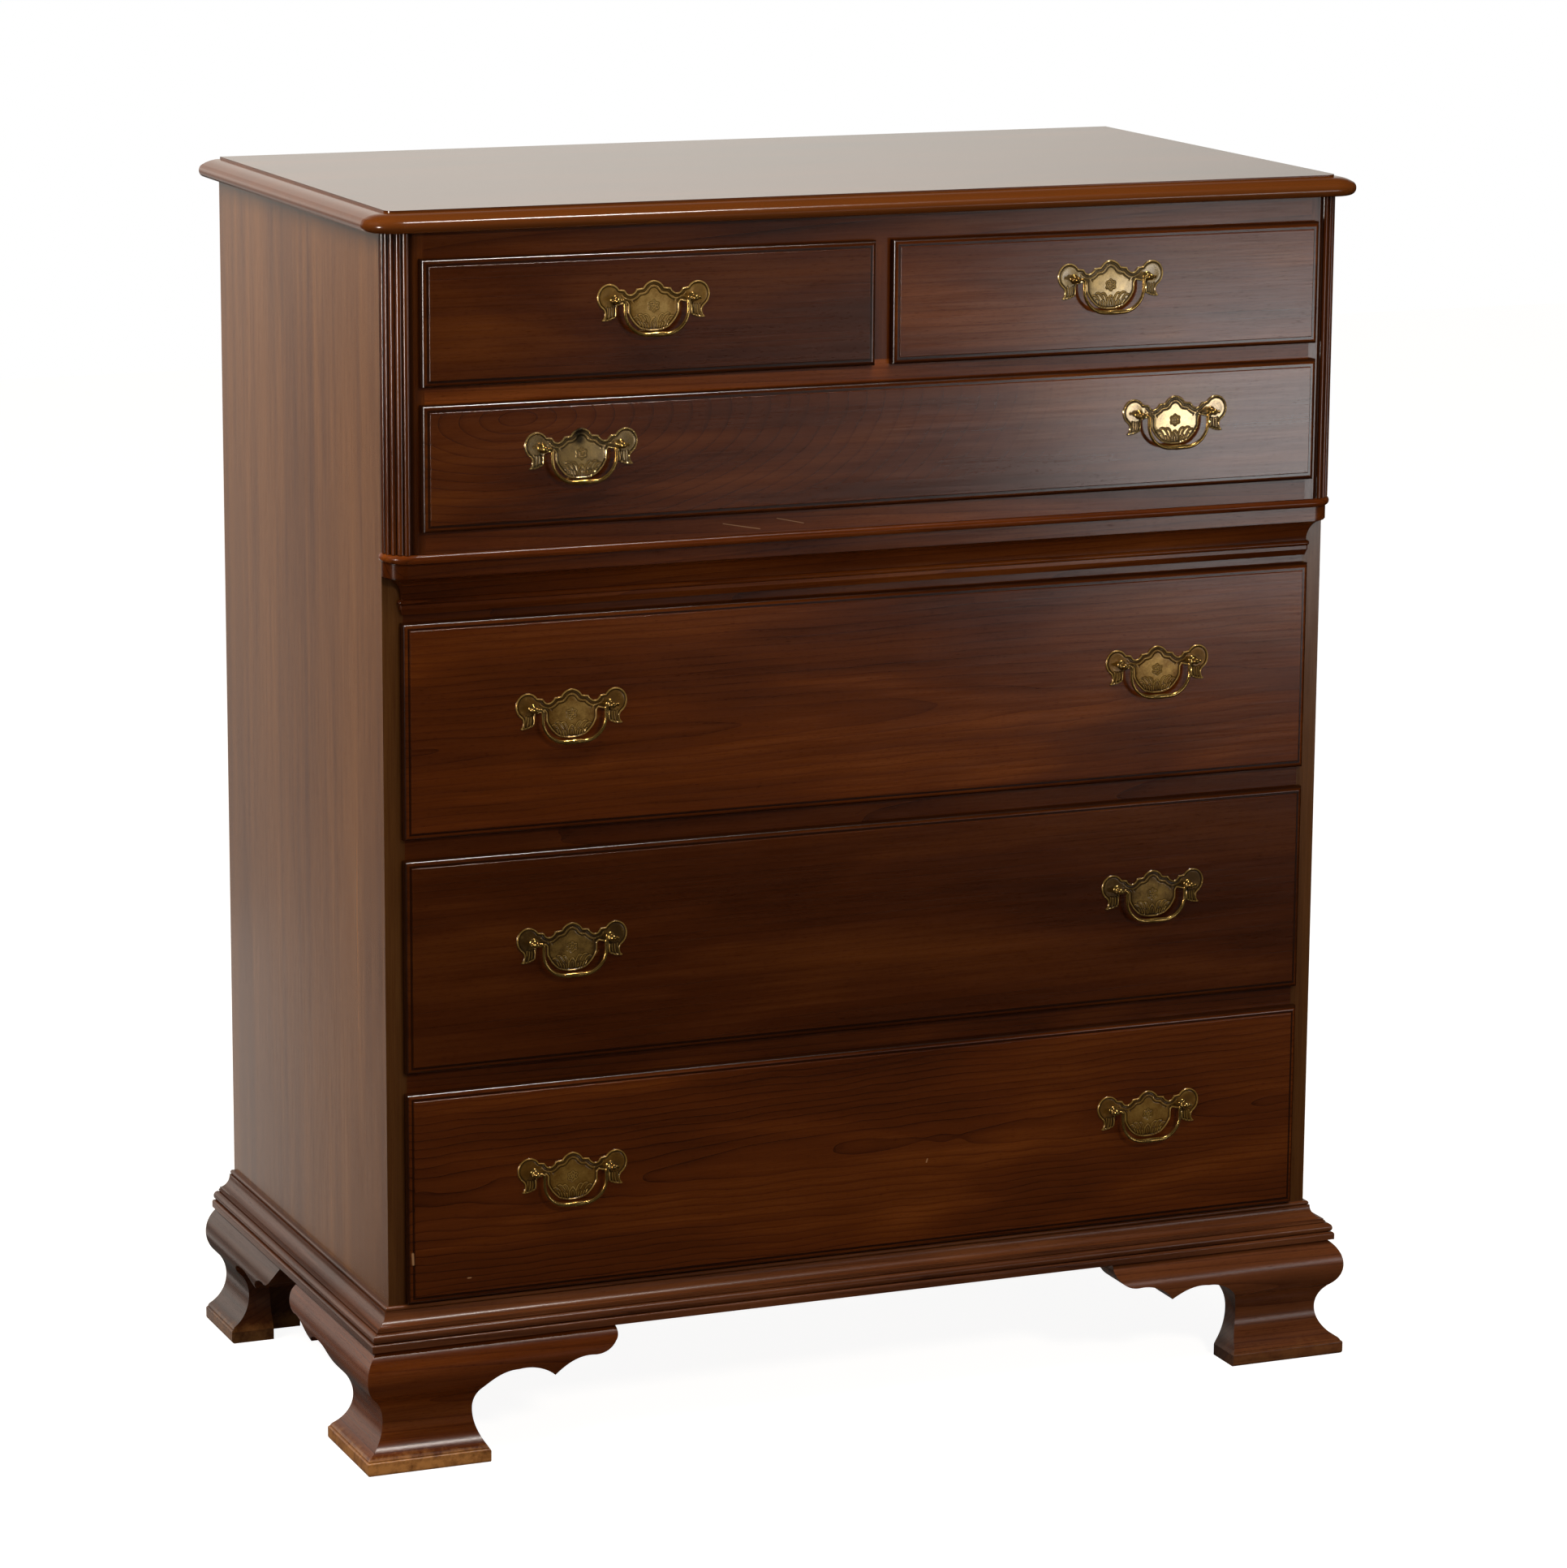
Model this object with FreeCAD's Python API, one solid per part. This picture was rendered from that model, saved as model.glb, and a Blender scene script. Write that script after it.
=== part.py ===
import FreeCAD, Part
import math
import os

V = FreeCAD.Vector

# A tall chest of drawers. X runs to the right, Y to the back, Z up; the floor is Z 0.
# While it is drawn, Y 0 is the front of the lower rails; save() centres it on its own box.
# ---------------------------------------------------------------- driving sizes, mm
# Case
case_width = 965.0           # over the side panels
case_depth = 494.0           # from the lower rails' face to the back
panel_thick = 20.0
back_thick = 6.0
back_rabbet = 10.0           # how far the back panel laps onto each side panel
top_thick = 19.3
top_inset = 1.9              # the top's flat lies this far inside the case's sides
top_flat_front = 18.0        # the flat's front edge, ahead of the lower rails
top_corner = 9.0             # radius of the flat's front corners
top_step = 2.2               # the flat stands above its moulded edge
top_nose = 21.8              # the edge's nose, outside the flat
top_round = 6.6              # radius of the nose
top_back_reach = 1.5         # the top passes the case's back by this much

# Rails and posts
rail_height = 25.4
rail_depth = 20.0
top_rail_height = 28.3
waist_rail_height = 61.0
upper_proud = 27.2           # the upper section stands ahead of the lower one
post_width = 33.4
reed_count = 5
reed_radius = 24.1           # centre line of the reeded quarter round
reed_rise = 1.2              # crests outside it, grooves inside it
reed_first_angle = 6.0
reed_pitch_angle = 16.4
divider_width = 27.0

# Waist and base mouldings
nosing_thick = 8.8
nosing_radius = 27.0         # plan radius of the nosing's front corners
nosing_reach = 29.9          # ahead of the lower rails
nosing_depth = 30.0          # how far it lies back on the waist rail
cove_inset = 18.4            # the cove's foot lies this far inside the case's sides
cove_depth = 18.6            # from the cove's foot out to the fascia
cove_back = 2.9              # the cove's foot stands this far ahead of the rail
base_height = 36.8
base_reach = 24.0
base_reveal = 1.5            # from the base moulding up to the bottom drawer's lip

# Feet
foot_height = 118.2
bracket_thick = 44.0
foot_reach = 32.3            # ogee's foot, outside the case
bulge_radius = 29.0
bulge_height = 93.0
bulge_reach = 31.4
hollow_radius = 33.0
hollow_height = 46.0
hollow_reach = 10.4
plinth_height = 11.5
plinth_round = 3.2           # worn lower edge
block_size = 38.0
bracket_reach = 219.5        # a front bracket's length, from the case's corner
bracket_gap = 55.0           # between the two brackets of one side
bracket_leg = 90.2           # width of the leg, from the case's corner
rear_bracket_thick = 20.0
rear_bracket_length = 120.0

# Drawers
lower_front_height = 203.5
upper_front_height = 117.0
lower_lap = 3.0              # how far a front's lip covers the rails and panels
upper_lap = 5.0
lip_edge = 4.5               # thickness of the lip at its edge
front_proud = 10.0           # the front's field, ahead of the rails
ovolo = 4.2
ovolo_fillet = 2.6
field_arris = 0.7            # rounding of the field's edge
front_inner = 12.0           # the part of the front inside its opening
side_thick = 12.0
tail_length = 10.0           # half-blind dovetails into the front
tail_pitch = 38.0
tail_share = 0.62            # a tail's width at its end, as a share of the pitch
tail_slope = 1.0 / 6.0
floor_thick = 5.0
floor_raise = 10.0           # from a side's lower edge to the drawer's floor
groove_depth = 5.5
rear_room = 18.0             # behind the drawers, to the back panel
runner_width = 45.0
dado_depth = 6.0
guide_height = 30.0

# Pulls
boring = 76.2                # between the two posts of a pull
pull_raise = 14.5            # posts above the middle of their front
wide_pull_place = 302.0      # middle of a wide drawer to the middle of its pulls
plate_thick = 1.0
post_reach = 7.8             # ball's centre, ahead of the plate
ball_radius = 3.2
neck_radius = 2.0
collar_radius = 4.6
collar_thick = 1.6
ring_radius = 2.9            # turned ring between the collar and the ball
ring_place = 3.6             # from the plate to the ring's middle
nut_across = 9.0
nut_thick = 3.5
bail_radius = 1.6
bail_half = 31.1             # middle of the bail to a leg
bail_bend = 2.4
bail_straight = 9.8          # from the pivot down to where a leg starts to curve
bail_corner = 22.2           # radius of the curve from a leg to the grip
grip_radius = 2.6            # thickest at its middle, where it hangs just below the plate
bail_tail = 2.6              # bail's end, past the ball

# Clearances
lip_gap = 0.3                # lip's back to the rails
run_gap = 0.3                # drawer sides to their runners
side_gap = 1.2               # drawer to each side of its opening
top_gap = 4.0                # drawer side to the kickers above
groove_gap = 0.1             # drawer floor in its grooves
pivot_gap = 0.05             # bail's end in its ball, on the radius
bolt_gap = 0.15              # post's shank in the front, on the radius

# ---------------------------------------------------------------- levels and places
case_half = case_width / 2
panel_inner = case_half - panel_thick
upper_half = case_half - post_width
back_face = case_depth - back_thick
drawer_rear = back_face - rear_room
base_top = foot_height + base_height
lower_step = lower_front_height + rail_height - 2 * lower_lap
upper_step = upper_front_height + rail_height - 2 * upper_lap
bottom_lip = base_top + base_reveal
waist_rail_foot = bottom_lip + 2 * lower_step + lower_front_height - lower_lap
nosing_foot = waist_rail_foot + waist_rail_height
upper_foot = nosing_foot + nosing_thick
second_lip = upper_foot + rail_height - upper_lap
top_rail_foot = second_lip + upper_step + upper_front_height - upper_lap
top_foot = top_rail_foot + top_rail_height
pivot_ahead = plate_thick + post_reach
bail_drop = bail_straight + bail_corner
front_reach = upper_proud + front_proud + pivot_ahead + ball_radius
rear_reach = case_depth + top_back_reach
centre_shift = (front_reach - rear_reach) / 2
side_reach = (case_depth - bracket_gap) / 2


# ---------------------------------------------------------------- drawing helpers
def on_front(x, z):
    return V(x, 0, z)


def on_side(y, z):
    return V(0, y, z)


def on_plan(x, y):
    return V(x, y, 0)


def face(plane, start, steps):
    # A closed face on one plane. A step is an end point, or a point on an arc and its end.
    edges = []
    here = start
    for step in steps + [start]:
        if isinstance(step[0], tuple):
            through, end = step
            edges.append(Part.Arc(plane(*here), plane(*through), plane(*end)).toShape())
        else:
            end = step
            edges.append(Part.LineSegment(plane(*here), plane(*end)).toShape())
        here = end
    return Part.Face(Part.Wire(edges))


def block(x0, x1, y0, y1, z0, z1):
    return Part.makeBox(x1 - x0, y1 - y0, z1 - z0, V(x0, y0, z0))


def moved(shape, x=0.0, y=0.0, z=0.0):
    copy = shape.copy()
    copy.translate(V(x, y, z))
    return copy


def flipped(shape):
    # The same piece on the other side of the chest.
    return shape.mirror(V(0, 0, 0), V(1, 0, 0))


def joined(shapes):
    return shapes[0].fuse(shapes[1:]).removeSplitter()


def quarter(corner, start, end):
    # Middle point of a quarter arc about a corner.
    radius = math.hypot(start[0] - corner[0], start[1] - corner[1])
    across = (start[0] + end[0] - 2 * corner[0], start[1] + end[1] - 2 * corner[1])
    reach = radius / math.hypot(*across)
    return (corner[0] + across[0] * reach, corner[1] + across[1] * reach)


def save(name, solids):
    shape = Part.makeCompound(solids) if len(solids) > 1 else solids[0]
    moved(shape, y=centre_shift).exportStep(os.path.join("parts", name + ".step"))


# ---------------------------------------------------------------- round-cornered boards
def rounded_board(half, front, back, start, steps):
    # A board whose moulded section turns round its two front corners. The section is drawn
    # from each corner's centre outwards, and half and front place those centres.
    section = face(on_front, start, steps)
    low = section.BoundBox.ZMin
    high = section.BoundBox.ZMax
    corner = section.revolve(V(0, 0, 0), V(0, 0, 1), -90)
    front_run = section.rotated(V(0, 0, 0), V(0, 0, 1), -90).extrude(V(-2 * half, 0, 0))
    side_run = section.extrude(V(0, back - front, 0))
    right = joined([corner, side_run])
    left = flipped(right)
    pieces = [moved(right, half, front), moved(left, -half, front), moved(front_run, half, front)]
    pieces.append(block(-half, half, front, back, low, high))
    return joined(pieces)


def top_board():
    # A step at the flat's edge, a long easy round outwards, and a tight round nose under it.
    reach = top_corner
    nose = (reach + top_nose - top_round, top_round - top_thick)
    turn = math.radians(60)
    meet = (nose[0] + top_round * math.cos(turn), nose[1] + top_round * math.sin(turn))
    easy = ((reach + meet[0]) / 2 + 0.3, (meet[1] - top_step) / 2 + 1.25)
    steps = [(reach, 0), (reach, -top_step), (easy, meet),
             ((nose[0] + top_round, nose[1]), (nose[0], -top_thick)), (0, -top_thick)]
    half = case_half - top_inset - top_corner
    front = top_corner - top_flat_front
    board = rounded_board(half, front, rear_reach, (0, 0), steps)
    return moved(board, z=top_foot + top_thick)


def waist_nosing():
    # A thin board with a bullnose edge, which the reeded posts stand on.
    edge = nosing_thick / 2
    flat = nosing_radius - edge
    steps = [(flat, 0), ((nosing_radius, edge), (flat, nosing_thick)), (0, nosing_thick)]
    half = case_half - reed_radius
    front = nosing_radius - nosing_reach
    nosing = rounded_board(half, front, nosing_depth, (0, 0), steps)
    notch = block(panel_inner, case_width, 0, case_depth, -nosing_thick, 2 * nosing_thick)
    return moved(nosing.cut([notch, flipped(notch)]), z=nosing_foot)


def waist_moulding():
    # Fascia, cove, bead and a last small cove, from the nosing down to the waist rail.
    fascia_foot = -13.5
    cove_top = fascia_foot - 1.2
    cove_foot = -36.0
    bead = 2.6
    bead_foot = cove_foot - 2 * bead
    last_foot = -50.5
    reach = cove_depth
    lip = reach - 1.2
    hollow = (reach * 0.27, -22.5)
    steps = [(reach, 0), (reach, fascia_foot), (lip, fascia_foot), (lip, cove_top), (hollow, (0.8, cove_foot)),
             (1.4, cove_foot), ((1.4 + bead, cove_foot - bead), (1.4, bead_foot)),
             (2.4, bead_foot), (2.4, bead_foot - 3.4), ((0.7, last_foot + 2.2), (0, last_foot))]
    half = case_half - cove_inset
    return moved(rounded_board(half, -cove_back, 0, (0, 0), steps), z=nosing_foot)


# ---------------------------------------------------------------- case
def frame_levels():
    # Lower edges and heights of the frames that carry and guide the drawers.
    lower = [(bottom_lip + lower_lap - rail_height + row * lower_step, rail_height) for row in range(3)]
    upper = [(upper_foot + row * upper_step, rail_height) for row in range(2)]
    return lower + [(waist_rail_foot, rail_height)] + upper + [(top_rail_foot, top_rail_height)]


def side_panel():
    panel = block(panel_inner, case_half, 0, case_depth, foot_height, top_foot)
    grooves = [block(panel_inner, panel_inner + dado_depth, rail_depth, back_face, low, low + height)
               for low, height in frame_levels()]
    grooves.append(block(panel_inner, panel_inner + back_rabbet, back_face, case_depth, foot_height, top_foot))
    return panel.cut(grooves)


def back_panel():
    half = panel_inner + back_rabbet
    return block(-half, half, back_face, case_depth, foot_height, top_foot)


def reeded_post():
    # Quarter-round post: a plain strip, then reeds that meet in sharp grooves.
    centre_x = case_half - reed_radius
    centre_y = reed_radius - upper_proud

    def at(radius, angle):
        turn = math.radians(angle)
        return (centre_x + radius * math.cos(turn), centre_y - radius * math.sin(turn))

    crest = reed_radius + reed_rise
    groove = reed_radius - reed_rise
    steps = [(case_half - 1.0, 0), at(groove, reed_first_angle - reed_pitch_angle / 2)]
    for reed in range(reed_count):
        middle = reed_first_angle + reed * reed_pitch_angle
        steps.append((at(crest, middle), at(groove, middle + reed_pitch_angle / 2)))
    steps.append((centre_x, -upper_proud))
    steps.append((upper_half, -upper_proud))
    post = face(on_plan, (upper_half, 0), steps).extrude(V(0, 0, top_foot - upper_foot))
    return moved(post, z=upper_foot)


def upper_rail(low, height):
    # The rail's rear half runs behind the posts to the side panels.
    fore = block(-upper_half, upper_half, -upper_proud, 0, low, low + height)
    rear = block(-panel_inner, panel_inner, 0, rail_depth, low, low + height)
    return joined([fore, rear])


def lower_rail(low, height):
    return block(-panel_inner, panel_inner, 0, rail_depth, low, low + height)


def drawer_divider():
    half = divider_width / 2
    return block(-half, half, -upper_proud, rail_depth, top_rail_foot - upper_front_height + 2 * upper_lap,
                 top_rail_foot)


def web_frames():
    # Runners let into the side panels, cross rails behind, a middle runner under the small
    # drawers, and guides that narrow the upper section to its openings.
    pieces = []
    cross = back_face - runner_width
    outer = panel_inner + dado_depth
    for low, height in frame_levels():
        runner = block(panel_inner - runner_width, outer, rail_depth, cross, low, low + height)
        pieces += [runner, flipped(runner), block(-outer, outer, cross, back_face, low, low + height)]
    small_floor = second_lip + upper_step + upper_lap
    middle = divider_width / 2
    for low, height in frame_levels()[-2:]:
        pieces.append(block(-runner_width, runner_width, rail_depth, cross, low, low + height))
    pieces.append(block(-middle, middle, rail_depth, drawer_rear, small_floor, small_floor + guide_height))
    for floor in (upper_foot + rail_height, small_floor):
        guide = block(upper_half, panel_inner, rail_depth, drawer_rear, floor, floor + guide_height)
        pieces += [guide, flipped(guide)]
    return pieces


# ---------------------------------------------------------------- base moulding
def base_moulding():
    # Bead, cove, two fillets, torus and a flat foot; three lengths, mitred at the front corners.
    low = foot_height
    top = base_top
    reach = base_reach
    steps = [(2.4, top), ((4.3, top - 1.9), (3.0, top - 4.0)), (5.2, top - 4.0), (5.2, top - 5.2),
             ((7.6, top - 12.2), (14.0, top - 16.6)), (15.6, top - 16.6), (15.6, top - 18.4),
             (16.9, top - 18.4), (16.9, top - 20.0), (16.2, top - 21.0),
             ((22.4, top - 24.6), (19.6, top - 29.4)), (21.4, top - 29.4),
             ((23.4, top - 30.1), (reach, top - 32.0)), (reach, low), (0, low)]

    def front_plane(p, z):
        return V(-case_half - 2 * reach, -p, z)

    def side_plane(p, z):
        return V(-case_half - p, -2 * reach, z)

    far = 2 * reach
    front_plan = [(case_half, 0), (case_half + far, -far), (-case_half - far, -far)]
    side_plan = [(-case_half, case_depth), (-case_half - far, case_depth), (-case_half - far, -far)]
    mitre = face(on_plan, (-case_half, 0), front_plan).extrude(V(0, 0, 2 * top))
    side_mitre = face(on_plan, (-case_half, 0), side_plan).extrude(V(0, 0, 2 * top))
    front = face(front_plane, (0, top), steps).extrude(V(case_width + 4 * reach, 0, 0)).common(mitre)
    left = face(side_plane, (0, top), steps).extrude(V(0, case_depth + 2 * reach, 0)).common(side_mitre)
    return [solid for piece in (front, left, flipped(left)) for solid in piece.Solids]


# ---------------------------------------------------------------- ogee bracket feet
def ogee_section():
    # Upper round and lower hollow are arcs that meet in one tangent; a plinth band below.
    bulge = (bulge_reach - bulge_radius, bulge_height)
    hollow = (hollow_reach + hollow_radius, hollow_height)
    lean = math.atan2(bulge[1] - hollow[1], hollow[0] - bulge[0])
    share = bulge_radius / (bulge_radius + hollow_radius)
    meet = (bulge[0] + (hollow[0] - bulge[0]) * share, bulge[1] + (hollow[1] - bulge[1]) * share)

    def on_bulge(angle):
        return (bulge[0] + bulge_radius * math.cos(angle), bulge[1] + bulge_radius * math.sin(angle))

    def on_hollow(angle):
        return (hollow[0] - hollow_radius * math.cos(angle), hollow[1] + hollow_radius * math.sin(angle))

    crown = math.asin((foot_height - bulge_height) / bulge_radius)
    flare = -math.asin((hollow_height - plinth_height - 5.0) / hollow_radius)
    step = on_hollow(flare)
    inner = foot_reach - bracket_thick
    round_over = 2.0
    under = plinth_round * (1 - math.sqrt(0.5))
    return [on_bulge(crown), (on_bulge((crown - lean) / 2), meet), (on_hollow((lean + flare) / 2), step),
            (foot_reach - round_over, plinth_height + 3.0),
            (foot_reach - round_over, plinth_height + round_over),
            ((foot_reach - 0.6, plinth_height + 1.4), (foot_reach, plinth_height)),
            (foot_reach, plinth_round), ((foot_reach - under, under), (foot_reach - plinth_round, 0)),
            (inner, 0)]


def bracket_outline(reach):
    # Scrolled lower edge, drawn from the case's corner inwards: an arch, a drop and a small lobe.
    # The leg keeps its width and the scroll fills the rest, drawn here for a front bracket.
    stretch = (reach - bracket_leg) / (bracket_reach - bracket_leg)

    def along(x):
        return bracket_leg + (x - bracket_leg) * stretch

    leg = [(bracket_leg, 0), (bracket_leg, plinth_height), (88.0, plinth_height + 4.0),
           ((80.6, 33.0), (78.6, 52.0))]
    scroll = [((along(119.0), 88.4)), ((along(141.0), 86.4), (along(156.8), 76.8)),
              ((along(172.5), 90.0), (along(194.0), 94.0)), ((along(209.0), 96.8), (along(217.5), 104.5)),
              ((along(bracket_reach + 1.2), 110.5), (reach, foot_height))]
    return leg + [((89.5, 76.5), scroll[0])] + scroll[1:]


def ogee_bracket(mitred, reach):
    # One board along X, its ogee face towards -Y and its corner at X 0.
    inner = foot_reach - bracket_thick
    far = 60.0
    length = reach + far
    outline = [(-far, 0)] + bracket_outline(reach)
    scroll = face(on_front, (-far, foot_height), outline).extrude(V(0, 2 * far, 0))
    scroll.translate(V(0, -far, 0))

    def end_plane(p, z):
        return V(-far, -p, z)

    board = face(end_plane, (inner, foot_height), ogee_section()).extrude(V(far + length, 0, 0))
    start = -inner if mitred else 0
    corner = (-far, -far) if mitred else (0, -far)
    plan = [corner, (length, -far), (length, -inner)]
    trim = face(on_plan, (start, -inner), plan).extrude(V(0, 0, foot_height))
    return board.common(scroll).common(trim)


def across_corner(shape):
    # The partner of a mitred board: X and Y change places.
    return shape.mirror(V(0, 0, 0), V(1, -1, 0))


def front_foot():
    inner = bracket_thick - foot_reach
    board = ogee_bracket(True, bracket_reach)
    side_board = across_corner(ogee_bracket(True, side_reach))
    corner_block = block(inner, inner + block_size, inner, inner + block_size, 0, foot_height)
    return [moved(piece, -case_half) for piece in (board, side_board, corner_block)]


def rear_foot():
    inner = bracket_thick - foot_reach
    board = across_corner(ogee_bracket(False, side_reach)).mirror(V(0, 0, 0), V(0, 1, 0))
    back_board = block(inner, inner + rear_bracket_length, -rear_bracket_thick, 0, 0, foot_height)
    slope = face(on_front, (inner + rear_bracket_length * 0.6, 0),
                 [(inner + rear_bracket_length, foot_height * 0.7), (inner + rear_bracket_length, 0)])
    back_board = back_board.cut(moved(slope, y=-rear_bracket_thick).extrude(V(0, rear_bracket_thick, 0)))
    deep = rear_bracket_thick + block_size
    corner_block = block(inner, inner + block_size, -deep, -rear_bracket_thick, 0, foot_height)
    return [moved(piece, -case_half, case_depth) for piece in (board, back_board, corner_block)]


# ---------------------------------------------------------------- drawers
def drawer_rows():
    # Each drawer: name, opening's left, right, lower and upper edge, the rails' face there,
    # the lip's lap, and the middles of its pulls.
    rows = []
    middle = divider_width / 2
    small_low = second_lip + upper_step + upper_lap
    for name, left, right in (("top_left", -upper_half, -middle), ("top_right", middle, upper_half)):
        centre = [(left + right) / 2]
        rows.append((name, left, right, small_low, top_rail_foot, -upper_proud, upper_lap, centre))
    pair = [-wide_pull_place, wide_pull_place]
    second_low = second_lip + upper_lap
    second_high = second_low + upper_front_height - 2 * upper_lap
    rows.append(("second", -upper_half, upper_half, second_low, second_high, -upper_proud, upper_lap, pair))
    for name, row in (("third", 2), ("fourth", 1), ("bottom", 0)):
        low = bottom_lip + lower_lap + row * lower_step
        high = low + lower_front_height - 2 * lower_lap
        rows.append((name, -panel_inner, panel_inner, low, high, 0, lower_lap, pair))
    return rows


def moulded_section(plane, half, back):
    # Section across a front: lip, ovolo, small fillet, raised field, and the same again.
    rise = lip_edge + ovolo
    edge = -half + ovolo + ovolo_fillet
    eased = field_arris * (1 - math.sqrt(0.5))
    near = [(-half, lip_edge), (-half + ovolo * 0.293, lip_edge + ovolo * 0.707), (-half + ovolo, rise),
            (edge, rise), (edge, front_proud - field_arris), (edge + eased, front_proud - eased),
            (edge + field_arris, front_proud)]
    far = [(-along, out) for along, out in reversed(near)]
    steps = [near[0], (near[1], near[2]), near[3], near[4], (near[5], near[6]),
             far[0], (far[1], far[2]), far[3], far[4], (far[5], far[6]), (half, back)]
    return face(plane, (-half, back), steps)


def tails(root, tip, low, high, left, right):
    # Dovetail prisms between two heights; they widen towards the tip.
    count = max(2, round((high - low) / tail_pitch))
    pitch = (high - low) / count
    wide = pitch * tail_share / 2
    narrow = wide - abs(tip - root) * tail_slope
    prisms = []
    for number in range(count):
        middle = low + pitch * (number + 0.5)
        steps = [(tip, middle - wide), (tip, middle + wide), (root, middle + narrow)]
        end = moved(face(on_side, (root, middle - narrow), steps), left)
        prisms.append(end.extrude(V(right - left, 0, 0)))
    return prisms


def dovetailed(board, root, tip, low, high):
    # Cuts the pin sockets at one end of a side board.
    box = board.BoundBox
    waste = block(box.XMin, box.XMax, min(root, tip), max(root, tip), low, high)
    return board.cut(waste.cut(tails(root, tip, low, high, box.XMin, box.XMax)))


def post_places(pulls):
    return [middle + side * boring / 2 for middle in pulls for side in (-1, 1)]


def drawer(name, left, right, low, high, face_y, lap, pulls):
    width = right - left
    middle = (left + right) / 2
    height = high - low
    centre_z = (low + high) / 2
    pull_z = centre_z + pull_raise
    half = width / 2 - side_gap
    inner_half = half - side_thick
    side_low = low + run_gap
    side_high = high - top_gap
    floor_low = side_low + floor_raise
    floor_high = floor_low + floor_thick
    root = face_y + front_inner
    rear_root = drawer_rear - side_thick

    # front: a moulded lip and, behind it, the part that enters the opening
    lip_half = width / 2 + lap
    lip_rise = height / 2 + lap

    def across(along, out):
        return V(middle + along, face_y - out, 0)

    def upright(along, out):
        return V(0, face_y - out, centre_z + along)

    lengthwise = moved(moulded_section(upright, lip_rise, lip_gap), middle - width).extrude(V(2 * width, 0, 0))
    heightwise = moved(moulded_section(across, lip_half, lip_gap), z=low - height).extrude(V(0, 0, 3 * height))
    inner = block(middle - half, middle + half, face_y - lip_gap, root, side_low, side_high)
    front = joined([lengthwise.common(heightwise), inner])

    # sides, back and floor
    side = block(middle + inner_half, middle + half, root - tail_length, drawer_rear, side_low, side_high)
    side = dovetailed(side, root, root - tail_length, side_low, side_high)
    side = dovetailed(side, rear_root, drawer_rear, floor_high + groove_gap, side_high)
    groove_half = inner_half + groove_depth + groove_gap
    floor_front = root - groove_depth
    groove = block(middle - groove_half, middle + groove_half, floor_front - groove_gap, drawer_rear,
                   floor_low - groove_gap, floor_high + groove_gap)
    side = side.cut(groove)
    other = side.mirror(V(middle, 0, 0), V(1, 0, 0))
    back = block(middle - half, middle + half, rear_root, drawer_rear, floor_high + groove_gap, side_high)
    back = back.cut([side, other])
    floor = block(middle - inner_half - groove_depth, middle + inner_half + groove_depth, floor_front,
                  drawer_rear, floor_low, floor_high)

    # borings for the posts
    borings = []
    for place in post_places(pulls):
        borings.append(Part.makeCylinder(neck_radius + bolt_gap, 3 * front_proud + front_inner,
                                         V(place, face_y - 2 * front_proud, pull_z), V(0, 1, 0)))
    front = front.cut([side, other, groove] + borings)

    save(name + "_front", [front])
    save(name + "_box", [side, other, back])
    save(name + "_floor", [floor])
    plates = [moved(pull_plate(), place, face_y - front_proud, pull_z) for place in pulls]
    save(name + "_plates", plates)
    posts = []
    for place in post_places(pulls):
        posts += [moved(piece, place, face_y, pull_z) for piece in pull_post()]
    save(name + "_posts", posts)
    for place in pulls:
        if len(pulls) == 1:
            bail_name = name + "_bail"
        else:
            bail_name = name + ("_bail_left" if place < 0 else "_bail_right")
        save(bail_name, [moved(bail(), place, face_y - front_proud - pivot_ahead, pull_z)])


# ---------------------------------------------------------------- pulls
def pull_plate():
    # Batwing plate: central arch, stepped shoulders, round ears with flared tips, shield below.
    # Half of the outline runs from the arch's crown to the shield's foot.
    right = [((6.2, 14.8), (10.5, 10.1)), (17.0, 9.4), ((18.1, 7.3), (20.0, 5.6)), ((23.2, 4.5), (26.2, 6.0)),
             (28.2, 8.9), (33.6, 9.5), ((43.0, 15.0), (53.4, 9.0)), ((55.2, 1.0), (50.0, -8.2)),
             ((47.9, -13.2), (50.9, -18.4)), (50.0, -19.4), ((43.0, -18.8), (36.4, -15.8)), (35.4, -5.6),
             (26.6, -3.4), (25.4, -5.2), (25.2, -12.8), ((20.6, -20.9), (14.0, -27.2)),
             ((7.2, -29.5), (0, -30.2))]
    crown = (0, 16.8)
    ends = [crown] + [step[1] if isinstance(step[0], tuple) else step for step in right]
    left = []
    for number in range(len(right) - 1, -1, -1):
        end = (-ends[number][0], ends[number][1])
        step = right[number]
        if isinstance(step[0], tuple):
            left.append(((-step[0][0], step[0][1]), end))
        else:
            left.append(end)
    # the last step of the left half closes the outline at the crown
    outline = right + left
    closing = outline.pop()
    plate = closed_by_arc(crown, outline, closing[0]).extrude(V(0, -plate_thick, 0))
    holes = []
    for side in (-1, 1):
        ahead = V(side * boring / 2, -2 * plate_thick, 0)
        holes.append(Part.makeCylinder(neck_radius + bolt_gap, 4 * plate_thick, ahead, V(0, 1, 0)))
    return plate.cut(holes)


def closed_by_arc(start, steps, through):
    edges = []
    here = start
    for step in steps:
        if isinstance(step[0], tuple):
            edges.append(Part.Arc(on_front(*here), on_front(*step[0]), on_front(*step[1])).toShape())
            here = step[1]
        else:
            edges.append(Part.LineSegment(on_front(*here), on_front(*step)).toShape())
            here = step
    edges.append(Part.Arc(on_front(*here), on_front(*through), on_front(*start)).toShape())
    return Part.Face(Part.Wire(edges))


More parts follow.
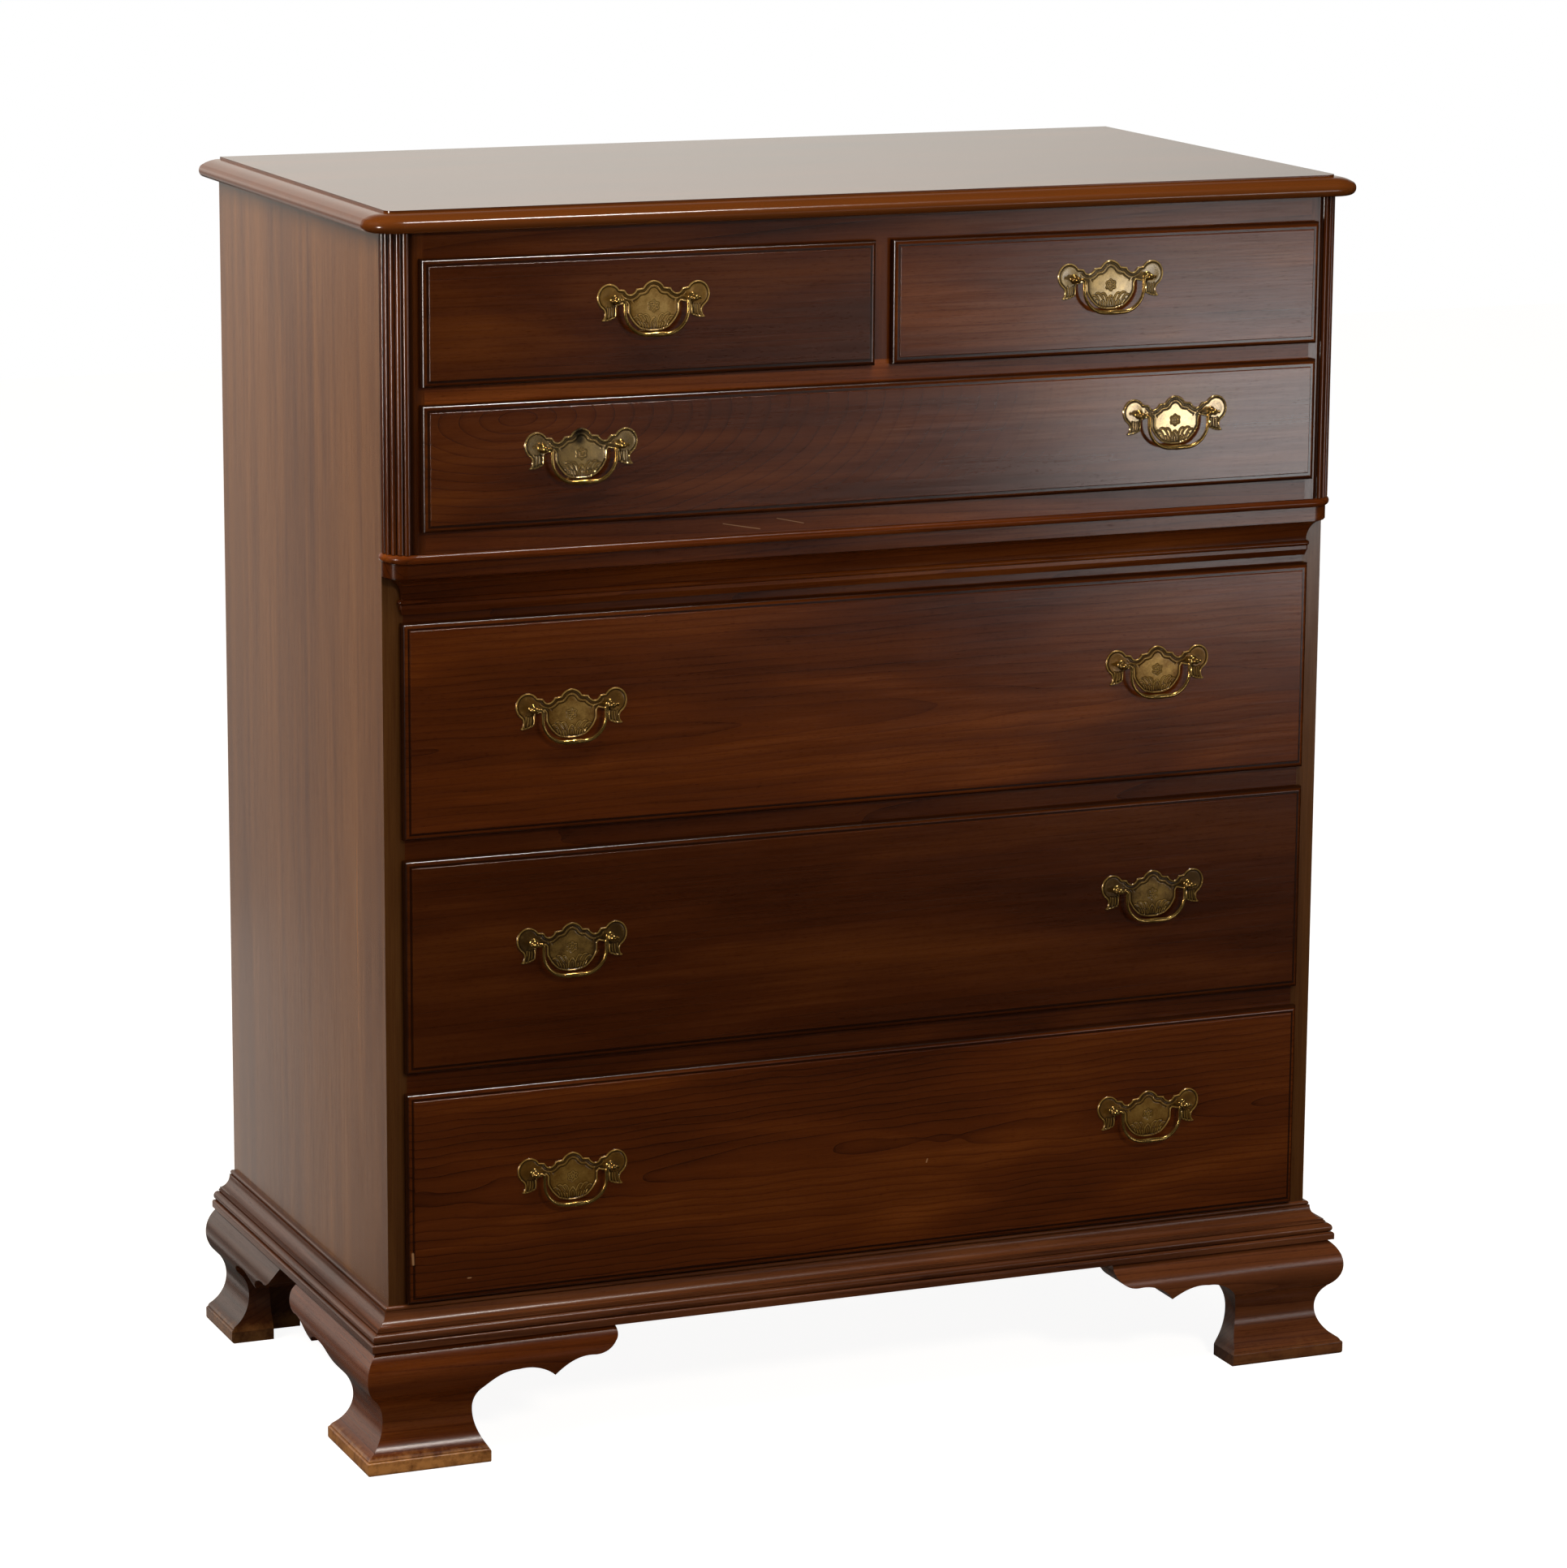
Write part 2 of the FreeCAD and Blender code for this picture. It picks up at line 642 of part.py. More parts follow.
def pull_post():
    # Ball-headed post with a collar on the plate and a shank through the front, and its nut.
    # The rails' face is Y 0 here, and the plate lies on the front's field.
    plate_face = -front_proud - plate_thick
    ball_y = plate_face - post_reach
    end_y = front_inner + nut_thick
    ball = Part.makeSphere(ball_radius, V(0, ball_y, 0))
    shank = Part.makeCylinder(neck_radius, end_y - ball_y, V(0, ball_y, 0), V(0, 1, 0))
    collar = Part.makeCone(collar_radius, neck_radius, collar_thick, V(0, plate_face, 0), V(0, -1, 0))
    slope = ring_radius - neck_radius
    middle = V(0, plate_face - ring_place, 0)
    rings = [Part.makeCone(ring_radius, neck_radius, slope, middle, V(0, side, 0)) for side in (-1, 1)]
    post = joined([ball, shank, collar] + rings)
    eye_start = V(-2 * ball_radius, ball_y, 0)
    eye = Part.makeCylinder(bail_radius + pivot_gap, 4 * ball_radius, eye_start, V(1, 0, 0))
    corner = nut_across / math.sqrt(3)
    turns = [math.radians(60 * number) for number in range(7)]
    points = [V(corner * math.cos(turn), front_inner, corner * math.sin(turn)) for turn in turns]
    nut = Part.Face(Part.makePolygon(points)).extrude(V(0, nut_thick, 0))
    nut = nut.cut(Part.makeCylinder(neck_radius, 3 * nut_thick, V(0, front_inner - nut_thick, 0), V(0, 1, 0)))
    return [post.cut(eye), nut]


def bail():
    # Ends turned outwards through the balls, straight legs, and a grip that thickens to its middle.
    end_x = boring / 2 + ball_radius + bail_tail
    bend_x = bail_half + bail_bend
    flat = bail_half - bail_corner
    diagonal = math.sqrt(0.5)
    bend_middle = V(bend_x - bail_bend * diagonal, 0, bail_bend * (diagonal - 1))
    corner_middle = V(flat + bail_corner * diagonal, 0, -bail_straight - bail_corner * diagonal)
    leg_top = V(bail_half, 0, -bail_bend)
    leg_foot = V(bail_half, 0, -bail_straight)
    grip_end = V(flat, 0, -bail_drop)
    grip_middle = V(0, 0, -bail_drop)

    upper = [Part.LineSegment(V(end_x, 0, 0), V(bend_x, 0, 0)).toShape(),
             Part.Arc(V(bend_x, 0, 0), bend_middle, leg_top).toShape(),
             Part.LineSegment(leg_top, leg_foot).toShape()]
    lower = [Part.Arc(leg_foot, corner_middle, grip_end).toShape(),
             Part.LineSegment(grip_end, grip_middle).toShape()]
    start = Part.Wire(Part.Circle(V(end_x, 0, 0), V(-1, 0, 0), bail_radius).toShape())
    thin = Part.Wire(Part.Circle(leg_foot, V(0, 0, -1), bail_radius).toShape())
    thick = Part.Wire(Part.Circle(grip_middle, V(-1, 0, 0), grip_radius).toShape())
    leg = Part.Wire(upper).makePipeShell([start], True, False)
    grip = Part.Wire(lower).makePipeShell([thin, thick], True, False)
    half = joined([leg, grip])
    return joined([half, flipped(half)])


# ---------------------------------------------------------------- build
os.makedirs("parts", exist_ok=True)

save("top_board", [top_board()])
save("side_panel_right", [side_panel()])
save("side_panel_left", [flipped(side_panel())])
save("back_panel", [back_panel()])
save("reeded_post_right", [reeded_post()])
save("reeded_post_left", [flipped(reeded_post())])
save("top_rail", [upper_rail(top_rail_foot, top_rail_height)])
save("drawer_divider", [drawer_divider()])
save("small_drawer_rail", [upper_rail(upper_foot + upper_step, rail_height)])
save("second_drawer_rail", [upper_rail(upper_foot, rail_height)])
save("waist_nosing", [waist_nosing()])
save("waist_moulding", [waist_moulding()])
save("waist_rail", [lower_rail(waist_rail_foot, waist_rail_height)])
save("lower_rails", [lower_rail(*level) for level in frame_levels()[:3]])
save("base_moulding", base_moulding())
save("foot_front_left", front_foot())
save("foot_front_right", [flipped(piece) for piece in front_foot()])
save("foot_rear_left", rear_foot())
save("foot_rear_right", [flipped(piece) for piece in rear_foot()])
save("web_frames", web_frames())
for row in drawer_rows():
    drawer(*row)
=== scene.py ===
import math

import bmesh
import bpy
import numpy as np
from mathutils import Euler, Matrix, Vector
from mathutils.geometry import delaunay_2d_cdt


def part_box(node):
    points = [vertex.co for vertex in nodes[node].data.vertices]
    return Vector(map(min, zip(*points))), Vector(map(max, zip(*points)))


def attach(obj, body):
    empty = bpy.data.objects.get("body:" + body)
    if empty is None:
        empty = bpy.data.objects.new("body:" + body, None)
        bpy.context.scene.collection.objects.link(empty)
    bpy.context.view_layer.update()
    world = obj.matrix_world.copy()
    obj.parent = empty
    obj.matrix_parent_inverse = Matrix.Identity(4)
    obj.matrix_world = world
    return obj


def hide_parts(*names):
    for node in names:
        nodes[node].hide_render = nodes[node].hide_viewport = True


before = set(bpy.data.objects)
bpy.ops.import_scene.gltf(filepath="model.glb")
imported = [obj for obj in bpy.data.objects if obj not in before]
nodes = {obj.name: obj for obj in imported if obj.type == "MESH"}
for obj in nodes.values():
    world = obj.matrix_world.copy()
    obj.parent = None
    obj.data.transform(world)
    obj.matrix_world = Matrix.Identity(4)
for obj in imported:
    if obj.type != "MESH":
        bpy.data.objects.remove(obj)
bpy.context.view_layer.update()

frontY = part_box("side_panel_left")[0].y      # face of the lower rails
caseHalf = -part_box("side_panel_left")[0].x
mm = 0.001
print("frame loaded:", len(nodes), "nodes")

# the camera stands in front and to the left, a little above the top
camera = {
    "place": (-2.053677, frontY - 4.746285, 1.736053),
    "yaw": 0.3933, "pitch": 0.2143, "roll": 0.0061,
    "lens": 127.497, "sensor": 36.0, "shiftY": 0.005308,
}


def makeCamera(spec):
    data = bpy.data.cameras.new("camera")
    data.sensor_fit = "HORIZONTAL"
    data.sensor_width = spec["sensor"]
    data.lens = spec["lens"]
    data.shift_y = spec["shiftY"]
    data.clip_end = 50.0
    holder = bpy.data.objects.new("camera", data)
    bpy.context.scene.collection.objects.link(holder)
    yaw, pitch, roll = spec["yaw"], spec["pitch"], spec["roll"]
    forward = Vector((math.sin(yaw) * math.cos(pitch), math.cos(yaw) * math.cos(pitch), -math.sin(pitch)))
    level = Vector((math.cos(yaw), -math.sin(yaw), 0.0))
    upright = level.cross(forward)
    right = math.cos(roll) * level + math.sin(roll) * upright
    up = math.cos(roll) * upright - math.sin(roll) * level
    turn = Matrix((right, up, -forward)).transposed().to_4x4()
    holder.matrix_world = Matrix.Translation(spec["place"]) @ turn
    bpy.context.scene.camera = holder


makeCamera(camera)
print("camera placed")


def toLinear(code):
    # sRGB hex to the linear colour that a shader takes
    parts = [int(code[i:i + 2], 16) / 255 for i in (1, 3, 5)]
    return [c / 12.92 if c <= 0.04045 else ((c + 0.055) / 1.055) ** 2.4 for c in parts] + [1.0]


def addNode(tree, kind, values=None, links=None, **options):
    node = tree.nodes.new(kind)
    for key, value in options.items():
        setattr(node, key, value)
    for key, value in (values or {}).items():
        node.inputs[key].default_value = value
    for key, socket in (links or {}).items():
        tree.links.new(socket, node.inputs[key])
    return node


# white paper round the chest for the camera; gloss sees a dim gallery with a pale wall behind
studio = {
    "ambient": 0.18,
    "gallery": 0.012, "wall": 0.95, "wallFrom": 0.70, "wallTo": 0.95,
    "levels": [(-0.40, 0.12), (-0.300, 0.08), (-0.262, 0.14), (-0.21, 0.06), (-0.18, 0.08), (-0.14, 0.10),
               (0.02, 1.08), (0.24, 1.08), (0.42, 0.42), (0.6, 0.12), (1.0, 0.08)],
    "wallColour": "#fffbf1",
    "floorHalf": 7.0, "paper": 0.925, "paperDiffuse": 0.50, "paperColour": "#d9d6d1",
    "lamps": {
        # place, aim, width, height, power in watts, colour, lights the matt colour, mirrored by gloss
        "frontBox": ((0.45, -3.7, 2.55), (0.0, -0.2, 0.7), 0.62, 0.50, 58.0, "#fff4e6", True, False),
        "frontGlint": ((0.68, -1.25, 3.75), (0.0, -0.2, 0.7), 0.46, 0.24, 38.0, "#fff8f0", False, True),
        "ceiling": ((0.3, -1.3, 3.3), (0.0, -0.1, 0.9), 1.6, 1.2, 66.0, "#fff2e2", True, False),
        "leftWall": ((-2.1, 0.15, 2.5), (-0.4, 0.05, 0.7), 2.0, 1.4, 100.0, "#fff0e0", True, False),
        "leftStrip": ((-2.9, -1.3, 0.93), (-0.4, -0.25, 1.0), 0.26, 0.6, 34.0, "#fff6ee", False, True),
        "rearLeft": ((-1.31, 4.9, 0.95), (-1.31, 0.0, 0.95), 1.5, 1.9, 4.4, "#fff8f0", True, True),
        "rearMid": ((-1.31, 4.9, -0.375), (-1.31, 0.0, -0.375), 1.5, 0.75, 1.8, "#fff8f0", False, True),
        "rearLow": ((-1.18, 4.9, -1.15), (-1.18, 0.0, -1.15), 1.5, 0.8, 3.7, "#fff8f0", False, True),
        "lowPanel": ((2.55, -3.85, 0.36), (0.3, -0.2, 0.9), 1.10, 0.52, 10.5, "#ffffff", True, True),
        "lowHaze": ((1.55, -3.86, 0.42), (0.0, -0.2, 0.95), 0.90, 0.65, 0.5, "#ffffff", False, True),
    },
}


def makeStudio(spec):
    world = bpy.data.worlds.new("studio")
    bpy.context.scene.world = world
    world.use_nodes = True
    tree = world.node_tree
    tree.nodes.clear()
    way = addNode(tree, "ShaderNodeSeparateXYZ", links={
        0: addNode(tree, "ShaderNodeTexCoord").outputs["Generated"]})
    back = addNode(tree, "ShaderNodeMapRange", {1: spec["wallFrom"], 2: spec["wallTo"],
                                                3: spec["gallery"], 4: spec["wall"]},
                   {0: way.outputs["Y"]}, interpolation_type="SMOOTHSTEP")
    low, high = spec["levels"][0][0], spec["levels"][-1][0]
    rise = addNode(tree, "ShaderNodeMapRange", {1: low, 2: high}, {0: way.outputs["Z"]})
    level = addNode(tree, "ShaderNodeFloatCurve", links={1: rise.outputs[0]})
    points = level.mapping.curves[0].points
    for number, (z, value) in enumerate(spec["levels"]):
        place = ((z - low) / (high - low), value / 2)
        if number in (0, len(spec["levels"]) - 1):
            points[-1 if number else 0].location = place
        else:
            points.new(*place)
    for point in points:
        point.handle_type = "VECTOR"
    level.mapping.update()
    gloss = addNode(tree, "ShaderNodeMath", links={0: back.outputs[0], 1: level.outputs[0]}, operation="MULTIPLY")
    gloss = addNode(tree, "ShaderNodeMath", {1: 2.0}, {0: gloss.outputs[0]}, operation="MULTIPLY")
    rays = addNode(tree, "ShaderNodeLightPath")
    seen = addNode(tree, "ShaderNodeMix", {2: spec["ambient"]},
                   {0: rays.outputs["Is Glossy Ray"], 3: gloss.outputs[0]})
    strength = addNode(tree, "ShaderNodeMix", {3: 1.0},
                       {0: rays.outputs["Is Camera Ray"], 2: seen.outputs[0]})
    tint = addNode(tree, "ShaderNodeMix", {6: toLinear(spec["wallColour"]), 7: (1, 1, 1, 1)},
                   {0: rays.outputs["Is Camera Ray"]}, data_type="RGBA")
    light = addNode(tree, "ShaderNodeBackground", links={"Color": tint.outputs[2], "Strength": strength.outputs[0]})
    addNode(tree, "ShaderNodeOutputWorld", links={"Surface": light.outputs[0]})

    half = spec["floorHalf"]
    sheet = bpy.data.meshes.new("paperFloor")
    sheet.from_pydata([(-half, -half, 0), (half, -half, 0), (half, half, 0), (-half, half, 0)], [], [(0, 1, 2, 3)])
    floor = bpy.data.objects.new("paperFloor", sheet)
    bpy.context.scene.collection.objects.link(floor)
    paper = bpy.data.materials.new("white background paper")
    paper.use_nodes = True
    tree = paper.node_tree
    tree.nodes.clear()
    rays = addNode(tree, "ShaderNodeLightPath")
    shown = addNode(tree, "ShaderNodeMath", {1: spec["paper"]}, {0: rays.outputs["Is Camera Ray"]},
                    operation="MULTIPLY")
    glow = addNode(tree, "ShaderNodeEmission", {"Color": (1, 1, 1, 1)}, {"Strength": shown.outputs[0]})
    matt = addNode(tree, "ShaderNodeBsdfDiffuse", {"Color": [c * spec["paperDiffuse"] for c in
                                                             toLinear(spec["paperColour"])[:3]] + [1]})
    both = addNode(tree, "ShaderNodeAddShader", links={0: glow.outputs[0], 1: matt.outputs[0]})
    addNode(tree, "ShaderNodeOutputMaterial", links={"Surface": both.outputs[0]})
    sheet.materials.append(paper)
    floor.visible_glossy = False

    for name, (place, aim, width, height, power, colour, lights, mirrored) in spec["lamps"].items():
        data = bpy.data.lights.new(name, "AREA")
        data.shape = "RECTANGLE"
        data.size, data.size_y = width, height
        data.energy = power
        data.color = toLinear(colour)[:3]
        lamp = bpy.data.objects.new(name, data)
        lamp.location = place
        lamp.rotation_euler = (Vector(aim) - Vector(place)).to_track_quat("-Z", "Y").to_euler()
        lamp.visible_diffuse = lights
        lamp.visible_glossy = mirrored
        bpy.context.scene.collection.objects.link(lamp)


makeStudio(studio)
bpy.context.scene.view_settings.view_transform = "Standard"
print("studio lit")


# ---- wood
# Cherry stained dark red-brown under rubbed semi-gloss lacquer: an even colour with soft clouding
# along the board, thin dark growth lines, short fine pores, painted shade in the quirks of the
# mouldings and the reed grooves, and a clear coat that mirrors the room softly.
cherry = {
    "dark": "#2c1003", "mid": "#4a2106", "light": "#683610",
    "roughness": 0.17, "ior": 1.5, "grainSheen": 0.22,
    "cloudLength": 420.0, "cloudWidth": 75.0, "cloud": 0.52,         # mm, and share of the tone
    "streakLength": 600.0, "streakWidth": 16.0, "streak": 0.20,
    "fineLength": 70.0, "fineWidth": 1.7, "fine": 0.17,
    "ringSpacing": 6.0, "ringWander": 3.0, "ringSharp": 7.0, "ring": 0.26,
    "ringReach": 0.0, "ringSqueeze": 0.12,
    "poreLength": 7.0, "poreWidth": 0.55, "pore": 0.20,              # drawn a little coarser than life
    "tone": 1.0, "pith": (0.0, 60.0, -25.0), "tilt": (0.0, 1.2),     # mm, degrees
    # share and colour of the painted shade laid in recesses, grooves and edges; on the top board a paler colour,
    # painted light on its nose
    "paintedLightShade": 0.85, "paintedLightShadeColour": "#140702", "worn": 0.0,
    "marks": (),                                                     # scratches, mm: x, z, x, z, width
}
grainTurns = {"x": Matrix.Identity(3), "y": Matrix.Rotation(math.radians(-90), 3, "Z"),
              "z": Matrix.Rotation(math.radians(90), 3, "Y")}


def shade(code, tone):
    return [c * tone for c in toLinear(code)[:3]] + [1.0]


def mathNode(tree, operation, first, second, third=None):
    # each operand is a socket or a number
    node = tree.nodes.new("ShaderNodeMath")
    node.operation = operation
    for slot, value in enumerate((first, second, third)):
        if isinstance(value, bpy.types.NodeSocket):
            tree.links.new(value, node.inputs[slot])
        elif value is not None:
            node.inputs[slot].default_value = value
    return node.outputs[0]


def borderShadeMask(tree, place, low, high, inset, width, rim):
    # 1 in a thin line round a drawer front, a fixed distance in from its edge, and on the edge itself: where painted
    # shade goes in the quirk and at the edge
    way = addNode(tree, "ShaderNodeSeparateXYZ", links={0: place})
    gaps = []
    for axis, a, b in (("X", low.x, high.x), ("Z", low.z, high.z)):
        off = mathNode(tree, "ABSOLUTE", mathNode(tree, "SUBTRACT", way.outputs[axis], (a + b) / 2), None)
        gaps.append(mathNode(tree, "SUBTRACT", (b - a) / 2, off))
    gap = mathNode(tree, "MINIMUM", *gaps)
    near = mathNode(tree, "ABSOLUTE", mathNode(tree, "SUBTRACT", gap, inset), None)
    line = addNode(tree, "ShaderNodeMapRange", {1: width * 0.3, 2: width, 3: 1.0, 4: 0.0}, {0: near}).outputs[0]
    edge = addNode(tree, "ShaderNodeMapRange", {1: rim * 0.4, 2: rim, 3: 1.0, 4: 0.0}, {0: gap}).outputs[0]
    return mathNode(tree, "MAXIMUM", line, edge)


def reedGrooveShade(tree, place, axis, crest, groove):
    # 1 in the grooves between the reeds, by distance from the post's centre line, where painted shade goes
    way = addNode(tree, "ShaderNodeSeparateXYZ", links={0: place})
    x = mathNode(tree, "SUBTRACT", mathNode(tree, "ABSOLUTE", way.outputs["X"], None), axis[0])
    y = mathNode(tree, "SUBTRACT", way.outputs["Y"], axis[1])
    reach = mathNode(tree, "SQRT", mathNode(tree, "ADD", mathNode(tree, "MULTIPLY", x, x),
                                            mathNode(tree, "MULTIPLY", y, y)), None)
    return addNode(tree, "ShaderNodeMapRange", {1: groove, 2: crest, 3: 1.0, 4: 0.0}, {0: reach}).outputs[0]


def scratch(tree, place, mark):
    # 1 within a thin stroke on a front, from one end to the other
    x0, z0, x1, z1, wide = (v * mm for v in mark)
    start = Vector((x0, 0, z0))
    span = Vector((x1 - x0, 0, z1 - z0))
    flat = addNode(tree, "ShaderNodeVectorMath", {1: (1, 0, 1)}, {0: place}, operation="MULTIPLY").outputs[0]
    off = addNode(tree, "ShaderNodeVectorMath", {1: start}, {0: flat}, operation="SUBTRACT").outputs[0]
    share = addNode(tree, "ShaderNodeVectorMath", {1: span / span.length_squared}, {0: off},
                    operation="DOT_PRODUCT").outputs["Value"]
    held = addNode(tree, "ShaderNodeClamp", links={0: share}).outputs[0]
    foot = addNode(tree, "ShaderNodeVectorMath", {0: span}, {"Scale": held}, operation="SCALE").outputs[0]
    gap = addNode(tree, "ShaderNodeVectorMath", links={0: off, 1: foot}, operation="DISTANCE").outputs["Value"]
    return addNode(tree, "ShaderNodeMapRange", {1: wide * 0.3, 2: wide, 3: 0.9, 4: 0.0}, {0: gap}).outputs[0]


def makeWood(name, grain, centre, look, paintedLightShade=None):
    # grain is the board's length axis, or two axes for lengths that meet in a mitre
    look = {**cherry, **look}
    material = bpy.data.materials.new(name)
    material.use_nodes = True
    tree = material.node_tree
    tree.nodes.clear()
    place = addNode(tree, "ShaderNodeTexCoord").outputs["Object"]
    tilt = Euler((0, math.radians(look["tilt"][0]), math.radians(look["tilt"][1]))).to_matrix()
    boards = []
    for axis in grain:
        turn = grainTurns[axis]
        pith = Vector(centre) + turn.inverted() @ (Vector(look["pith"]) * mm)
        boards.append(addNode(tree, "ShaderNodeMapping", {"Rotation": turn.to_euler(), "Location": -(turn @ pith)},
                              {"Vector": place}).outputs[0])
    along = boards[0]
    if len(boards) == 2:
        split = addNode(tree, "ShaderNodeSeparateXYZ", links={0: place})
        reach = mathNode(tree, "ADD", mathNode(tree, "ABSOLUTE", split.outputs["X"], None), split.outputs["Y"])
        side = mathNode(tree, "GREATER_THAN", reach, caseHalf + frontY)
        along = addNode(tree, "ShaderNodeMix", links={0: side, 4: boards[0], 5: boards[1]},
                        data_type="VECTOR").outputs[1]
    # growth rings lean away from the board's length
    leaning = addNode(tree, "ShaderNodeMapping", {"Rotation": tilt.to_euler()}, {"Vector": along}).outputs[0]

    def grainNoise(length, width, detail, roughness, distortion=0.0):
        stretched = addNode(tree, "ShaderNodeMapping", {
            "Scale": (1 / (length * mm), 1 / (width * mm), 1 / (width * mm))}, {"Vector": along})
        return addNode(tree, "ShaderNodeTexNoise", {"Scale": 1.0, "Detail": detail, "Roughness": roughness,
                                                    "Distortion": distortion}, {"Vector": stretched.outputs[0]}).outputs[0]

    def share(socket, amount):
        return addNode(tree, "ShaderNodeMapRange", {1: 0.3, 2: 0.7, 3: -amount / 2, 4: amount / 2}, {0: socket}).outputs[0]

    fine = grainNoise(look["fineLength"], look["fineWidth"], 4.0, 0.65)
    tone = mathNode(tree, "ADD", share(grainNoise(look["cloudLength"], look["cloudWidth"], 3.0, 0.5, 0.6), look["cloud"]), 0.5)
    tone = mathNode(tree, "ADD", tone, share(grainNoise(look["streakLength"], look["streakWidth"], 3.0, 0.55), look["streak"]))
    tone = mathNode(tree, "ADD", tone, share(fine, look["fine"]))
    squeezed = addNode(tree, "ShaderNodeMapping", {"Scale": (look["ringSqueeze"], 1, 1)}, {0: leaning})
    rings = addNode(tree, "ShaderNodeTexWave", {"Scale": 0.314 / (look["ringSpacing"] * mm),
                                                "Distortion": look["ringWander"], "Detail": 2.0,
                                                "Detail Scale": 0.35, "Detail Roughness": 0.6},
                    {"Vector": squeezed.outputs[0]}, wave_type="RINGS", rings_direction="X", wave_profile="SAW")
    thin = mathNode(tree, "POWER", rings.outputs["Fac"], look["ringSharp"])
    if look["ringReach"] > 0:
        # the figure dies out away from the pith's end
        far = mathNode(tree, "ABSOLUTE", addNode(tree, "ShaderNodeSeparateXYZ", links={0: along}).outputs["X"], None)
        thin = mathNode(tree, "MULTIPLY", thin, addNode(tree, "ShaderNodeMapRange", {
            1: look["ringReach"] * 0.4 * mm, 2: look["ringReach"] * mm, 3: 1.0, 4: 0.12}, {0: far}).outputs[0])
    tone = mathNode(tree, "MULTIPLY_ADD", thin, -look["ring"], tone)
    pores = addNode(tree, "ShaderNodeMapRange", {1: 0.60, 2: 0.72, 3: 0.0, 4: look["pore"]},
                    {0: grainNoise(look["poreLength"], look["poreWidth"], 1.0, 0.5)}).outputs[0]
    tone = mathNode(tree, "SUBTRACT", tone, pores)
    ramp = addNode(tree, "ShaderNodeValToRGB", links={0: tone})
    stops = ramp.color_ramp.elements
    stops[0].position, stops[0].color = 0.05, shade(look["dark"], look["tone"])
    stops[1].position, stops[1].color = 0.95, shade(look["light"], look["tone"])
    stops.new(0.5).color = shade(look["mid"], look["tone"])
    colour = ramp.outputs["Color"]

    if paintedLightShade is not None:
        # painted shade in the recesses, edges and grooves that the mask picks out; on the top board a paler colour,
        # painted light on its nose
        mask = mathNode(tree, "MULTIPLY", paintedLightShade(tree, place), look["paintedLightShade"])
        colour = addNode(tree, "ShaderNodeMix", {7: toLinear(look["paintedLightShadeColour"])}, {0: mask, 6: colour},
                         data_type="RGBA").outputs[2]
    if look["worn"] > 0:
        # finish rubbed through near the floor
        height = addNode(tree, "ShaderNodeSeparateXYZ", links={0: place}).outputs["Z"]
        low = addNode(tree, "ShaderNodeMapRange", {1: 0.008, 2: 0.030, 3: 1.0, 4: 0.0}, {0: height}).outputs[0]
        patch = addNode(tree, "ShaderNodeTexNoise", {"Scale": 55.0, "Detail": 4.0, "Roughness": 0.7},
                        {"Vector": place}).outputs[0]
        mask = addNode(tree, "ShaderNodeMapRange", {1: 0.26, 2: 0.56, 3: 0.0, 4: look["worn"]},
                       {0: mathNode(tree, "MULTIPLY", low, patch)}).outputs[0]
        colour = addNode(tree, "ShaderNodeMix", {7: toLinear("#9b6b3a")}, {0: mask, 6: colour},
                         data_type="RGBA").outputs[2]

    for mark in look["marks"]:
        colour = addNode(tree, "ShaderNodeMix", {7: toLinear("#8c6a4a")}, {0: scratch(tree, place, mark), 6: colour},
                         data_type="RGBA").outputs[2]

    sheen = addNode(tree, "ShaderNodeMapRange", {1: 0.3, 2: 0.7, 3: look["roughness"] - 0.01,
                                                 4: look["roughness"] + 0.02}, {0: fine})
    # open pores and coarse grain break the mirror of the lacquer
    mirror = mathNode(tree, "MULTIPLY_ADD", pores, -1.2, mathNode(tree, "ADD", share(fine, look["grainSheen"]), 0.5))
    bump = addNode(tree, "ShaderNodeBump", {"Strength": 0.02, "Distance": 0.0003}, {"Height": fine})
    finish = addNode(tree, "ShaderNodeBsdfPrincipled", {"IOR": look["ior"]},
                     {"Base Color": colour, "Roughness": sheen.outputs[0], "Specular IOR Level": mirror,
                      "Normal": bump.outputs[0]})
    addNode(tree, "ShaderNodeOutputMaterial", links={"Surface": finish.outputs[0]})
    return material


def middleOf(node):
    low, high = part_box(node)
    return (low + high) / 2


# each board: length of its grain, and what sets it apart
frontBoards = {
    "top_left": {"tone": 0.56, "pith": (80, 90, 140), "tilt": (0.4, 1.0), "ring": 0.12},
    "top_right": {"tone": 0.80, "pith": (-60, 70, -150), "tilt": (-0.6, 0.8), "ring": 0.14},
    "second": {"tone": 0.67, "ior": 1.56, "pith": (-392, 0, 42), "tilt": (1.0, 22.0), "ringSpacing": 7.2, "ring": 0.27,
               "ringWander": 3.0, "ringSharp": 9.0, "ringReach": 600.0, "streak": 0.3},
    "third": {"tone": 0.90, "ior": 1.45, "pith": (150, 12, -12), "tilt": (0.6, -1.6), "ringSpacing": 7.0, "ring": 0.22,
              "ringWander": 6.0, "ringSqueeze": 0.3},
    "fourth": {"tone": 0.51, "ior": 1.46, "pith": (200, 80, -180), "tilt": (0.5, 0.6), "cloud": 0.4, "ring": 0.12},
    "bottom": {"tone": 0.84, "pith": (90, 6, 4), "tilt": (0.5, 1.6), "ringSpacing": 6.5,
               "ringWander": 7.5, "ringSqueeze": 0.4, "ring": 0.34,
               "marks": ((-461, 206, -460.5, 196, 1.6), (-407, 177, -404, 177, 0.9), (64, 241, 65, 244, 0.9))},
}
